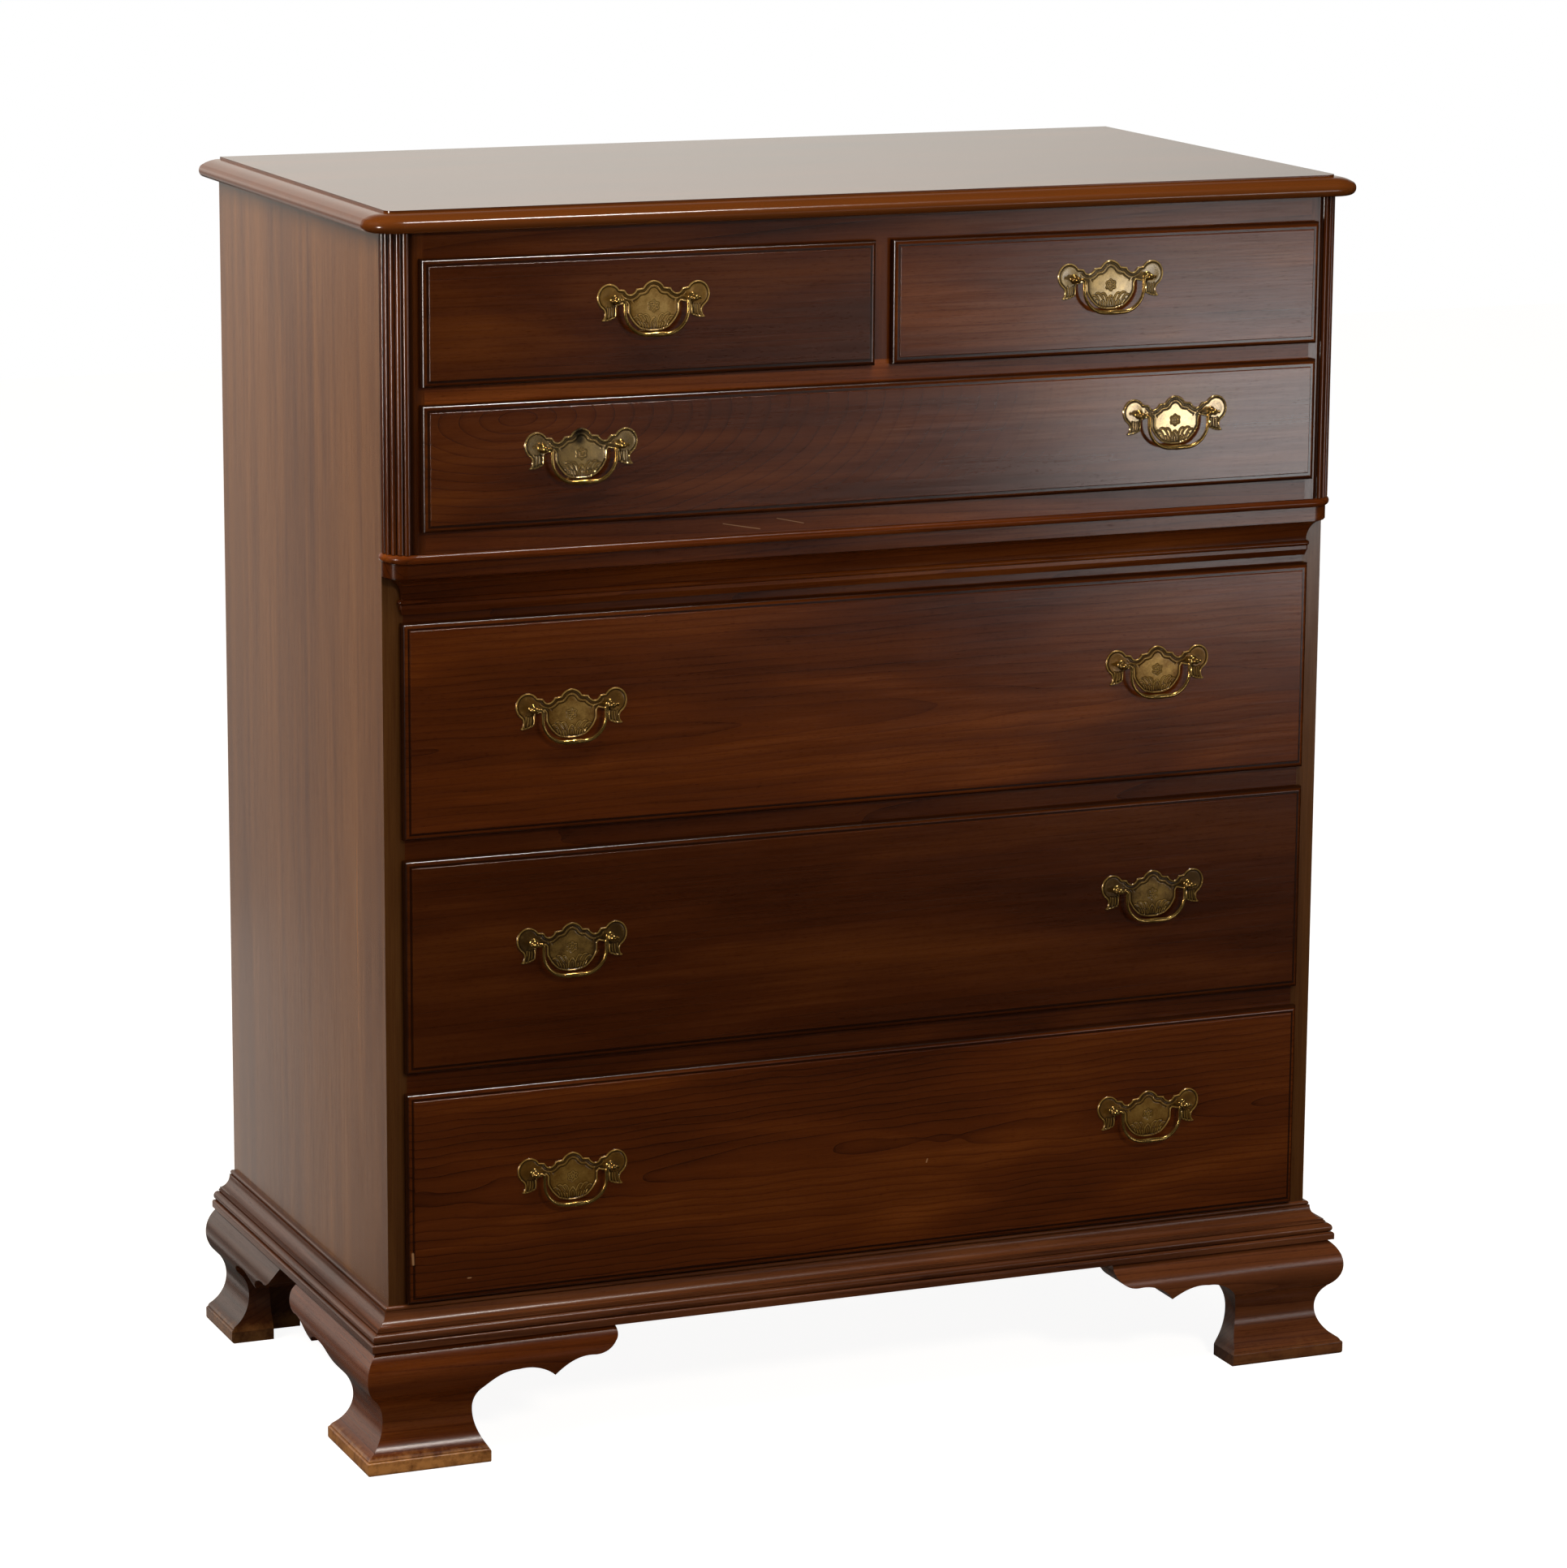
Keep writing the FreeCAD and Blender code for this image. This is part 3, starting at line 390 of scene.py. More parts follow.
# the side panels are drawn paler than the fronts, a painted light for the light on the sides, with longer clouding and
# stronger streaks; their front edges get painted shade
litPanelWood = {"dark": "#4b2a12", "mid": "#66401d", "light": "#7d532a", "cloud": 0.42, "cloudWidth": 60.0,
             "cloudLength": 900.0, "streak": 0.40, "ring": 0.12, "streakWidth": 20.0, "streakLength": 900.0,
             "fine": 0.34, "paintedLightShade": 0.55}
# the rails are less rubbed than the fronts, and duller
railWood = {"roughness": 0.21, "ior": 1.37}
# handled and kicked near the floor, so the finish there is duller
baseWood = {"roughness": 0.24, "ior": 1.42}
dustyWood = {**baseWood, "dark": "#351a0d", "mid": "#542e17", "light": "#704324"}
caseBoards = {
    # the paler colour on the top's nose is painted light
    "top_board": ("x", {"tone": 0.72, "pith": (0, -300, -60), "paintedLightShade": 0.55, "paintedLightShadeColour": "#5e3312",
                        "cloudLength": 320.0, "cloudWidth": 60.0, "cloud": 0.34}),
    "side_panel_left": ("z", {**litPanelWood, "tone": 0.92, "pith": (0, 0, 200)}),
    "side_panel_right": ("z", {**litPanelWood, "ior": 1.40, "pith": (0, 60, -200)}),
    "reeded_post_left": ("z", {"tone": 0.8, "ring": 0.1}),
    "reeded_post_right": ("z", {"tone": 0.8, "ring": 0.1, "pith": (50, 60, 25)}),
    "top_rail": ("x", {"tone": 0.80}),
    "drawer_divider": ("z", {"tone": 0.8}),
    "small_drawer_rail": ("x", {**railWood, "tone": 1.58, "pith": (90, 50, 80)}),
    "second_drawer_rail": ("x", {**railWood, "ior": 1.44, "tone": 1.15, "pith": (40, 70, 50),
                                 "marks": ((-158, 884, -121, 877, 0.5), (-104, 886, -77, 880, 0.45))}),
    "waist_nosing": ("x", {**railWood, "tone": 1.35, "pith": (-40, 60, 70)}),
    "waist_moulding": ("x", {"ior": 1.42, "tone": 0.92}),
    "waist_rail": ("x", {"tone": 0.75}),
    "lower_rails": ("x", {"tone": 0.75, "pith": (0, 80, 220)}),
    "base_moulding": ("xy", {**dustyWood, "tone": 0.84, "pith": (120, 50, 90)}),
    "foot_front_left": ("xy", {**baseWood, "tone": 1.0, "worn": 1.0, "pith": (30, 90, 110)}),
    "foot_front_right": ("xy", {**dustyWood, "tone": 1.12, "worn": 0.15, "pith": (-50, 80, 140)}),
    # tone 0.5 is painted shade: the rear foot stands in the chest's shadow
    "foot_rear_left": ("xy", {**dustyWood, "tone": 0.5, "worn": 0.4, "pith": (70, 100, 90)}),
    "foot_rear_right": ("xy", {**baseWood, "tone": 0.9, "worn": 0.4, "pith": (20, 70, 130)}),
}
# where the painted shade of the reed grooves lies, mm: the post's centre line in from the corner, and the radii the
# shade fades between
reeds = {"centreIn": 24.1, "crest": 25.1, "groove": 23.3, "ahead": 27.2}
# painted shade round each drawer front, mm: the line in from the edge, its width, and the dark band at the edge
border = {"inset": 5.5, "width": 1.4, "rim": 3.0}
# Plain poplar, planed and left bare: pale, matt, with a faint straight grain.
poplar = {"dark": "#8f6f47", "mid": "#b08c5e", "light": "#c9a878", "roughness": 0.6, "ring": 0.15, "pore": 0.1}


def wearMaterial(node, material):
    data = nodes[node].data
    data.materials.clear()
    data.materials.append(material)


for drawer, look in frontBoards.items():
    node = drawer + "_front"
    low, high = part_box(node)

    # painted shade in the drawer front's quirk and along its edge
    def paintedLightShade(tree, place, low=low, high=high):
        return borderShadeMask(tree, place, low, high, border["inset"] * mm, border["width"] * mm, border["rim"] * mm)

    wearMaterial(node, makeWood("lacquered cherry " + drawer, "x", middleOf(node), look, paintedLightShade))
reedAxis = (caseHalf - reeds["centreIn"] * mm, frontY + (reeds["centreIn"] - reeds["ahead"]) * mm)


# painted shade in the reed grooves
def grooveShade(tree, place):
    return reedGrooveShade(tree, place, reedAxis, reeds["crest"] * mm, reeds["groove"] * mm)


def frontEdgeShade(tree, place):
    # painted shade: the panels' front edges are darkened to the rails' colour, against the paler painted light of their
    # sides
    y = addNode(tree, "ShaderNodeSeparateXYZ", links={0: place}).outputs["Y"]
    return mathNode(tree, "LESS_THAN", y, frontY + 0.3 * mm)


def litNoseMask(tree, place):
    # painted light: the moulded edge of the top is paler than its flat, for the light falling on the nose
    z = addNode(tree, "ShaderNodeSeparateXYZ", links={0: place}).outputs["Z"]
    return mathNode(tree, "LESS_THAN", z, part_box("top_board")[1].z - 0.6 * mm)


masks = {"reeded_post_left": grooveShade, "reeded_post_right": grooveShade, "side_panel_left": frontEdgeShade,
         "side_panel_right": frontEdgeShade, "top_board": litNoseMask}
for node, (grain, look) in caseBoards.items():
    mask = masks.get(node)
    wearMaterial(node, makeWood("lacquered cherry " + node.replace("_", " "), grain, middleOf(node), look, mask))
boxWood = makeWood("planed poplar drawer sides", "y", Vector((0, 0, 0)), poplar)
frameWood = makeWood("planed poplar frames", "y", Vector((0, 0, 0)), {**poplar, "tone": 0.85})
backWood = makeWood("planed poplar back", "z", Vector((0, 0, 0)), {**poplar, "tone": 0.8, "ring": 0.3})
for drawer in frontBoards:
    wearMaterial(drawer + "_box", boxWood)
    wearMaterial(drawer + "_floor", boxWood)
wearMaterial("web_frames", frameWood)
wearMaterial("back_panel", backWood)
print("wood finished")


# ---- brass pulls
# Stamped and cast brass with an antique finish: dark olive left in the chased lines, body colour
# between matt and metal under a thin lacquer, rubbed to pale gold on the rims and the handle.
brass = {
    "patina": "#2a1c09", "body": "#8a6d33", "rubbed": "#e2c078",
    "roughness": 0.28, "metal": 0.6, "coat": 0.3, "coatRoughness": 0.10,
    "lowRelief": 0.30, "highRelief": 1.25, "reliefShare": 0.42,        # mm off the drawer's face
    "cloud": 95.0, "speck": 700.0, "stain": 0.85, "stains": (),       # tarnish spots, mm: x, z, x, z, width
}


def makeBrass(name, look, face=None):
    look = {**brass, **look}
    material = bpy.data.materials.new(name)
    material.use_nodes = True
    tree = material.node_tree
    tree.nodes.clear()
    place = addNode(tree, "ShaderNodeTexCoord").outputs["Object"]
    cloud = addNode(tree, "ShaderNodeTexNoise", {"Scale": look["cloud"], "Detail": 5.0, "Roughness": 0.65},
                    {"Vector": place}).outputs[0]
    speck = addNode(tree, "ShaderNodeTexNoise", {"Scale": look["speck"], "Detail": 3.0, "Roughness": 0.7},
                    {"Vector": place}).outputs[0]
    worn = mathNode(tree, "MULTIPLY_ADD", speck, 0.3, mathNode(tree, "MULTIPLY", cloud, 0.7))
    if face is not None:
        # height off the face of the drawer, so rims rub bright and hollows stay dark
        y = addNode(tree, "ShaderNodeSeparateXYZ", links={0: place}).outputs["Y"]
        lift = addNode(tree, "ShaderNodeMapRange", {1: face - look["lowRelief"] * mm, 2: face - look["highRelief"] * mm,
                                                    3: 0.0, 4: look["reliefShare"]}, {0: y}).outputs[0]
        worn = mathNode(tree, "MULTIPLY_ADD", worn, 1 - look["reliefShare"], lift)
    ramp = addNode(tree, "ShaderNodeValToRGB", links={0: worn})
    stops = ramp.color_ramp.elements
    stops[0].position, stops[0].color = 0.16, toLinear(look["patina"])
    stops[1].position, stops[1].color = 0.80, toLinear(look["rubbed"])
    stops.new(0.44).color = toLinear(look["body"])
    colour = ramp.outputs["Color"]
    if face is not None:
        recess = addNode(tree, "ShaderNodeAttribute", attribute_name="recess").outputs["Fac"]
        colour = addNode(tree, "ShaderNodeMix", {7: toLinear(look["patina"])},
                         {0: mathNode(tree, "MULTIPLY", recess, look["stain"]), 6: colour},
                         data_type="RGBA").outputs[2]
    for mark in look["stains"]:
        colour = addNode(tree, "ShaderNodeMix", {7: toLinear("#1c1208")}, {0: scratch(tree, place, mark), 6: colour},
                         data_type="RGBA").outputs[2]
    rough = addNode(tree, "ShaderNodeMapRange", {1: 0.3, 2: 0.8, 3: look["roughness"] + 0.08,
                                                 4: look["roughness"] - 0.06}, {0: worn})
    bump = addNode(tree, "ShaderNodeBump", {"Strength": 0.12, "Distance": 0.0002}, {"Height": cloud})
    finish = addNode(tree, "ShaderNodeBsdfPrincipled", {"Metallic": look["metal"], "Coat Weight": look["coat"],
                                                        "Coat Roughness": look["coatRoughness"]},
                     {"Base Color": colour, "Roughness": rough.outputs[0], "Normal": bump.outputs[0]})
    addNode(tree, "ShaderNodeOutputMaterial", links={"Surface": finish.outputs[0]})
    return material


# sizes of a pull in mm, from the middle of the line between its two posts
pull = {
    "boring": 76.2, "postReach": 7.8, "plateThick": 1.0,
    "ballRadius": 3.18, "neckRadius": 2.0, "collarRadius": 4.6,
    "bailHalf": 31.1, "bend": 2.4, "straight": 9.8, "corner": 22.2,
    "leg": 1.55, "grip": 2.6, "tail": 2.6,
    "nutAcross": 9.0, "nutThick": 3.5, "frontThick": 22.0,
}
# half of the plate's outline from its crown: arcs as (point on the arc, end), lines as an end
plateCrown = (0.0, 16.8)
plateOutline = [((6.2, 14.8), (10.5, 10.1)), (17.0, 9.4), ((18.1, 7.3), (20.0, 5.6)), ((23.2, 4.5), (26.2, 6.0)),
                (28.2, 8.9), (33.6, 9.5), ((43.0, 15.0), (53.4, 9.0)), ((55.2, 1.0), (50.0, -8.2)),
                ((47.9, -13.2), (50.9, -18.4)), (50.0, -19.4), ((43.0, -18.8), (36.4, -15.8)), (35.4, -5.6),
                (26.6, -3.4), (25.4, -5.2), (25.2, -12.8), ((20.6, -20.9), (14.0, -27.2)),
                ((7.2, -29.5), (0.0, -30.2))]


def arcPoints(start, through, end, step):
    (ax, az), (bx, bz), (cx, cz) = start, through, end
    twist = 2 * (ax * (bz - cz) + bx * (cz - az) + cx * (az - bz))
    a, b, c = ax * ax + az * az, bx * bx + bz * bz, cx * cx + cz * cz
    midX = (a * (bz - cz) + b * (cz - az) + c * (az - bz)) / twist
    midZ = (a * (cx - bx) + b * (ax - cx) + c * (bx - ax)) / twist
    radius = math.dist(start, (midX, midZ))
    first, between, last = (math.atan2(z - midZ, x - midX) for x, z in (start, through, end))
    sweep = (last - first) % math.tau
    if (between - first) % math.tau > sweep:
        sweep -= math.tau
    count = max(2, round(abs(sweep) * radius / step))
    turns = [first + sweep * i / count for i in range(1, count + 1)]
    return [(midX + radius * math.cos(t), midZ + radius * math.sin(t)) for t in turns]


def linePoints(start, end, step):
    count = max(1, round(math.dist(start, end) / step))
    return [(start[0] + (end[0] - start[0]) * i / count, start[1] + (end[1] - start[1]) * i / count)
            for i in range(1, count + 1)]


def outlinePoints(step):
    here = plateCrown
    right = [here]
    for piece in plateOutline:
        if isinstance(piece[0], tuple):
            right += arcPoints(here, piece[0], piece[1], step)
            here = piece[1]
        else:
            right += linePoints(here, piece, step)
            here = piece
    left = [(-x, z) for x, z in reversed(right[1:-1])]
    return np.array(right + left)


def insideDistance(points, outline):
    # distance in from the outline, below zero outside
    run = np.roll(outline, -1, axis=0) - outline
    best = np.full(len(points), 1e9)
    inside = np.zeros(len(points), bool)
    for i, start in enumerate(outline):
        offset = points - start
        t = np.clip((offset @ run[i]) / (run[i] @ run[i]), 0, 1)
        gap = offset - t[:, None] * run[i]
        best = np.minimum(best, np.hypot(gap[:, 0], gap[:, 1]))
        crosses = (start[1] > points[:, 1]) != (start[1] + run[i, 1] > points[:, 1])
        if abs(run[i, 1]) > 1e-12:
            inside ^= crosses & (points[:, 0] < start[0] + (points[:, 1] - start[1]) / run[i, 1] * run[i, 0])
    return np.where(inside, best, -best)


# relief of the stamped plate, mm
stamp = {
    "grid": 0.45, "field": 0.62, "rimIn": 0.95, "rimWide": 0.6, "rim": 0.75, "edgeFall": 0.9,
    "crown": 0.25, "groove": 2.25, "lines": (3.7, 6.6), "lineDeep": 0.36, "lineWide": 0.48,
    "earDish": 0.12, "earRadius": 8.0, "trough": (0.5, 1.25), "troughDeep": 0.2,
}


def upperBand(x, z):
    # 1 on the band that follows the top edge between the ears
    return np.clip((z + 4.0) / 2.0, 0, 1) * np.clip((33.0 - np.abs(x)) / 3.0, 0, 1)


def plateHeight(x, z, depth):
    form = stamp
    rise = form["field"] * np.clip(0.45 + 0.55 * depth / form["edgeFall"], 0.45, 1.0)
    rise = rise + form["rim"] * np.exp(-((depth - form["rimIn"]) / form["rimWide"]) ** 2)
    crown = np.clip(1 - (x / 27.0) ** 2, 0, 1) * np.clip(1 - ((z + 7) / 22.0) ** 2, 0, 1)
    rise = rise + form["crown"] * crown * np.clip((depth - 2.2) / 3.0, 0, 1)
    ear = np.hypot(np.abs(x) - 42.5, z - 2.0)
    rise = rise - form["earDish"] * np.clip(1 - (ear / form["earRadius"]) ** 2, 0, 1)
    return rise - form["lineDeep"] * grooveShare(x, z, depth)


def grooveShare(x, z, depth):
    form = stamp
    share = np.exp(-((depth - form["groove"]) / form["lineWide"]) ** 2)
    for deep in form["lines"]:
        share = share + upperBand(x, z) * np.exp(-((depth - deep) / form["lineWide"]) ** 2)
    return share


def makePlateMesh(outline, marks):
    # marks: the points of the chased lines, whose edges are sunk and stained
    count = len(outline)
    run = np.roll(outline, -1, axis=0) - np.roll(outline, 1, axis=0)
    inward = np.stack([run[:, 1], -run[:, 0]], axis=1) / np.hypot(run[:, 0], run[:, 1])[:, None]
    rings = []
    for deep in (0.35, 0.75):
        ring = outline + inward * deep
        rings.append(ring[np.abs(insideDistance(ring, outline) - deep) < 0.08])
    step = stamp["grid"]
    xs, zs = np.meshgrid(np.arange(-57, 57, step), np.arange(-31, 18, step * 0.866))
    xs = xs + (np.arange(xs.shape[0])[:, None] % 2) * step / 2
    grid = np.stack([xs.ravel(), zs.ravel()], axis=1)
    grid = grid[insideDistance(grid, outline) > 1.05]
    points = np.vstack([outline] + rings + [grid])
    edges = [(i, (i + 1) % count) for i in range(count)]
    flat, _, faces, _, _, _ = delaunay_2d_cdt([Vector(point) for point in points], edges, [], 1, 1e-5)
    flat = np.array([tuple(point) for point in flat])
    depth = np.maximum(insideDistance(flat, outline), 0)
    depth[:count] = 0
    near = np.full(len(flat), 9.0)
    for mark in marks:
        near = np.minimum(near, np.hypot(flat[:, 0] - mark[0], flat[:, 1] - mark[1]))
    inner, outer = stamp["trough"]
    beside = np.clip((outer - near) / (outer - inner), 0, 1)
    rise = plateHeight(flat[:, 0], flat[:, 1], depth) - stamp["troughDeep"] * beside
    recess = np.clip(grooveShare(flat[:, 0], flat[:, 1], depth) + 0.9 * beside, 0, 1)
    verts = [(x, -h, z) for (x, z), h in zip(flat, rise)] + [(x, 0.0, z) for x, z in outline]
    base = len(flat)
    # the outline runs clockwise seen from the front, so walls and top face outwards
    walls = [(i, (i + 1) % count, base + (i + 1) % count, base + i) for i in range(count)]
    back = [tuple(base + i for i in range(count))]
    front = []
    for face in faces:
        (ax, az), (bx, bz), (cx, cz) = (flat[i] for i in face)
        turn = (bx - ax) * (cz - az) - (bz - az) * (cx - ax)
        front.append(tuple(face) if turn > 0 else tuple(reversed(face)))
    mesh = bpy.data.meshes.new("plateBase")
    mesh.from_pydata([Vector(vert) * mm for vert in verts], [], front + walls + back)
    values = np.concatenate([recess, np.zeros(count)])
    mesh.attributes.new("recess", "FLOAT", "POINT").data.foreach_set("value", values)
    return mesh


def newTree(name, inputs):
    tree = bpy.data.node_groups.new(name, "GeometryNodeTree")
    tree.interface.new_socket("Geometry", in_out="INPUT", socket_type="NodeSocketGeometry")
    for label, kind, value in inputs:
        socket = tree.interface.new_socket(label, in_out="INPUT", socket_type=kind)
        if value is not None:
            socket.default_value = value
    tree.interface.new_socket("Geometry", in_out="OUTPUT", socket_type="NodeSocketGeometry")
    return tree, addNode(tree, "NodeGroupInput")


def closeTree(tree, given, geometry):
    real = addNode(tree, "GeometryNodeRealizeInstances", links={0: geometry})
    smooth = addNode(tree, "GeometryNodeSetShadeSmooth", links={0: real.outputs[0]})
    named = addNode(tree, "GeometryNodeSetMaterial", links={0: smooth.outputs[0], "Material": given.outputs["Finish"]})
    addNode(tree, "NodeGroupOutput", links={0: named.outputs[0]})


def makeRidgeTree():
    # little rounded ridges set across a path, for the hatching and the petals
    tree, given = newTree("ridgeRow", [
        ("Spacing", "NodeSocketFloat", 0.001), ("Along", "NodeSocketFloat", 0.0003),
        ("Across", "NodeSocketFloat", 0.001), ("Rise", "NodeSocketFloat", 0.0002),
        ("Lean", "NodeSocketFloat", 0.0), ("Jitter", "NodeSocketFloat", 0.05),
        ("Seed", "NodeSocketInt", 3), ("Finish", "NodeSocketMaterial", None)])
    path = addNode(tree, "GeometryNodeMeshToCurve", links={0: given.outputs["Geometry"]})
    spots = addNode(tree, "GeometryNodeCurveToPoints", links={"Curve": path.outputs[0],
                                                              "Length": given.outputs["Spacing"]}, mode="LENGTH")
    ball = addNode(tree, "GeometryNodeMeshIcoSphere", {"Radius": 1.0, "Subdivisions": 2})
    aim = addNode(tree, "FunctionNodeAlignRotationToVector", links={"Vector": spots.outputs["Tangent"]},
                  axis="X", pivot_axis="Y")
    chance = addNode(tree, "FunctionNodeRandomValue", links={"Seed": given.outputs["Seed"]}, data_type="FLOAT")
    chance.inputs[2].default_value = -1.0
    chance.inputs[3].default_value = 1.0
    wobble = mathNode(tree, "MULTIPLY_ADD", chance.outputs[1], given.outputs["Jitter"], given.outputs["Lean"])
    spin = addNode(tree, "ShaderNodeCombineXYZ", links={1: wobble})
    euler = addNode(tree, "FunctionNodeEulerToRotation", links={0: spin.outputs[0]})
    turned = addNode(tree, "FunctionNodeRotateRotation", links={0: aim.outputs[0], 1: euler.outputs[0]},
                     rotation_space="LOCAL")
    size = addNode(tree, "ShaderNodeCombineXYZ", links={0: given.outputs["Along"], 1: given.outputs["Rise"],
                                                        2: given.outputs["Across"]})
    rows = addNode(tree, "GeometryNodeInstanceOnPoints", links={
        "Points": spots.outputs[0], "Instance": ball.outputs[0], "Rotation": turned.outputs[0],
        "Scale": size.outputs[0]})
    closeTree(tree, given, rows.outputs[0])
    return tree


def makeSweepTree():
    # a round section swept along a path, as thick at each point as the path says
    tree, given = newTree("sweptWire", [("Sides", "NodeSocketInt", 8), ("Finish", "NodeSocketMaterial", None)])
    path = addNode(tree, "GeometryNodeMeshToCurve", links={0: given.outputs["Geometry"]})
    ring = addNode(tree, "GeometryNodeCurvePrimitiveCircle", {"Radius": 1.0}, {"Resolution": given.outputs["Sides"]})
    thick = addNode(tree, "GeometryNodeInputNamedAttribute", {"Name": "thickness"}, data_type="FLOAT")
    swept = addNode(tree, "GeometryNodeCurveToMesh", {"Fill Caps": True},
                    {"Curve": path.outputs[0], "Profile Curve": ring.outputs[0], "Scale": thick.outputs[0]})
    closeTree(tree, given, swept.outputs[0])
    return tree


def runTree(tree, path, closed=False, thickness=None, **inputs):
    # path in mm; gives back a plain mesh
    count = len(path)
    line = bpy.data.meshes.new("path")
    line.from_pydata([Vector(point) * mm for point in path], [(i, (i + 1) % count) for i in range(count - (not closed))],
                     [])
    if thickness is not None:
        line.attributes.new("thickness", "FLOAT", "POINT").data.foreach_set("value", np.array(thickness) * mm)
    holder = bpy.data.objects.new("path", line)
    bpy.context.scene.collection.objects.link(holder)
    modifier = holder.modifiers.new("tree", "NODES")
    modifier.node_group = tree
    for item in tree.interface.items_tree:
        if item.in_out == "INPUT" and item.name in inputs:
            modifier[item.identifier] = inputs[item.name]
    made = bpy.data.meshes.new_from_object(holder.evaluated_get(bpy.context.evaluated_depsgraph_get()))
    bpy.data.objects.remove(holder)
    return made


ridgeTree = makeRidgeTree()
sweepTree = makeSweepTree()
# chased lines on the plate, mm; the ones on the right half are repeated on the left
chasing = {
    "hatchPitch": 1.15, "hatchIn": 5.15, "hatchHalf": 1.05, "hatchWide": 0.30, "hatchRise": 0.34, "hatchLean": 0.30,
    "flower": (0.0, -6.9), "petals": 6, "petalReach": 4.3, "petalWave": 0.75, "eye": 1.5,
    "line": 0.42, "leafLine": 0.52, "fluteLine": 0.5,
    "bud": [(-3.7, -27.6), (-3.5, -22.4), (-1.7, -18.8), (0.0, -16.9), (1.7, -18.8), (3.5, -22.4), (3.7, -27.6)],
    "budHeart": [(-1.5, -26.6), (-1.5, -22.8), (0.0, -20.2), (1.5, -22.8), (1.5, -26.6)],
    "leaves": [[(3.6, -21.6), (4.8, -17.0), (7.6, -14.2), (10.0, -15.4)],
               [(7.4, -20.6), (9.6, -16.6), (12.6, -13.8), (15.4, -14.8)],
               [(12.4, -21.0), (14.2, -17.8), (17.4, -16.0), (19.8, -17.4)],
               [(5.2, -28.2), (5.4, -25.0), (6.2, -22.6)], [(7.8, -27.8), (8.0, -24.8), (9.2, -22.2)],
               [(10.4, -27.0), (10.8, -24.4), (12.2, -21.8)], [(13.0, -25.6), (13.6, -23.2), (15.0, -20.8)]],
    "flutes": [[(37.4, -6.5), (37.0, -11.0), (37.6, -15.2)], [(40.0, -7.2), (39.8, -12.0), (40.8, -16.8)],
               [(42.6, -7.4), (42.6, -12.5), (44.0, -17.6)], [(45.2, -6.8), (45.2, -12.5), (47.0, -18.0)]],
}


def curveThrough(points):
    # a smooth path through a few points, by repeated corner cutting
    path = [Vector(point) for point in points]
    for _ in range(3):
        cut = [path[0]]
        for a, b in zip(path, path[1:]):
            cut += [a.lerp(b, 0.25), a.lerp(b, 0.75)]
        path = cut + [path[-1]]
    return path


def onPlate(points, outline):
    # paths drawn on the flat are laid on the relief
    flat = np.array([tuple(point)[:2] for point in points])
    rise = plateHeight(flat[:, 0], flat[:, 1], np.maximum(insideDistance(flat, outline), 0))
    return [(x, -h, z) for (x, z), h in zip(flat, rise)]


def drawChasing():
    # every line of the design on the flat: (points, thickness, closed)
    form = chasing
    cx, cz = form["flower"]
    turns = [math.tau * i / 72 for i in range(72)]
    lines = []
    for reach, wave in ((form["petalReach"], form["petalWave"]), (form["eye"], 0.3)):
        radii = [reach + wave * math.cos(form["petals"] * (t - math.pi / 2)) for t in turns]
        lines.append(([(cx + r * math.cos(t), cz + r * math.sin(t)) for r, t in zip(radii, turns)], form["line"], True))
    lines.append(([(cx, cz - 0.4), (cx, cz), (cx, cz + 0.4)], 0.5, False))
    lines.append((curveThrough(form["bud"]), form["leafLine"], False))
    lines.append((curveThrough(form["budHeart"]), form["line"], False))
    for side in (-1, 1):
        for leaf in form["leaves"]:
            lines.append((curveThrough([(side * x, z) for x, z in leaf]), form["leafLine"], False))
        for flute in form["flutes"]:
            lines.append((curveThrough([(side * x, z) for x, z in flute]), form["fluteLine"], False))
    return lines


def makeChasing(outline, lines, finish):
    form = chasing
    parts = []
    for points, thick, closed in lines:
        count = len(points)
        ease = [1.0 if closed else min(1.0, 0.4 + 4.0 * min(i, count - 1 - i) / count) for i in range(count)]
        parts.append(runTree(sweepTree, onPlate(points, outline), closed=closed,
                             thickness=[thick * e for e in ease], Finish=finish))
    top = outline[(outline[:, 1] > 3.0) & (np.abs(outline[:, 0]) < 31)]
    top = top[np.argsort(top[:, 0])]
    run = np.gradient(top, axis=0)
    down = np.stack([run[:, 1], -run[:, 0]], axis=1) / np.hypot(run[:, 0], run[:, 1])[:, None]
    band = top + down * form["hatchIn"]
    band = band[np.abs(insideDistance(band, outline) - form["hatchIn"]) < 0.5]
    parts.append(runTree(ridgeTree, onPlate(band, outline), Spacing=form["hatchPitch"] * mm,
                         Along=form["hatchWide"] * mm, Across=form["hatchHalf"] * mm, Rise=form["hatchRise"] * mm,
                         Lean=form["hatchLean"], Jitter=0.06, Finish=finish))
    cx, cz = form["flower"]
    spokes = [(cx + 2.8 * math.cos(math.tau * i / 72), cz + 2.8 * math.sin(math.tau * i / 72)) for i in range(72)]
    parts.append(runTree(ridgeTree, onPlate(spokes, outline), closed=True,
                         Spacing=math.tau * 2.8 / form["petals"] * 0.999 * mm, Along=0.36 * mm, Across=0.8 * mm,
                         Rise=0.32 * mm, Jitter=0.0, Finish=finish))
    return parts


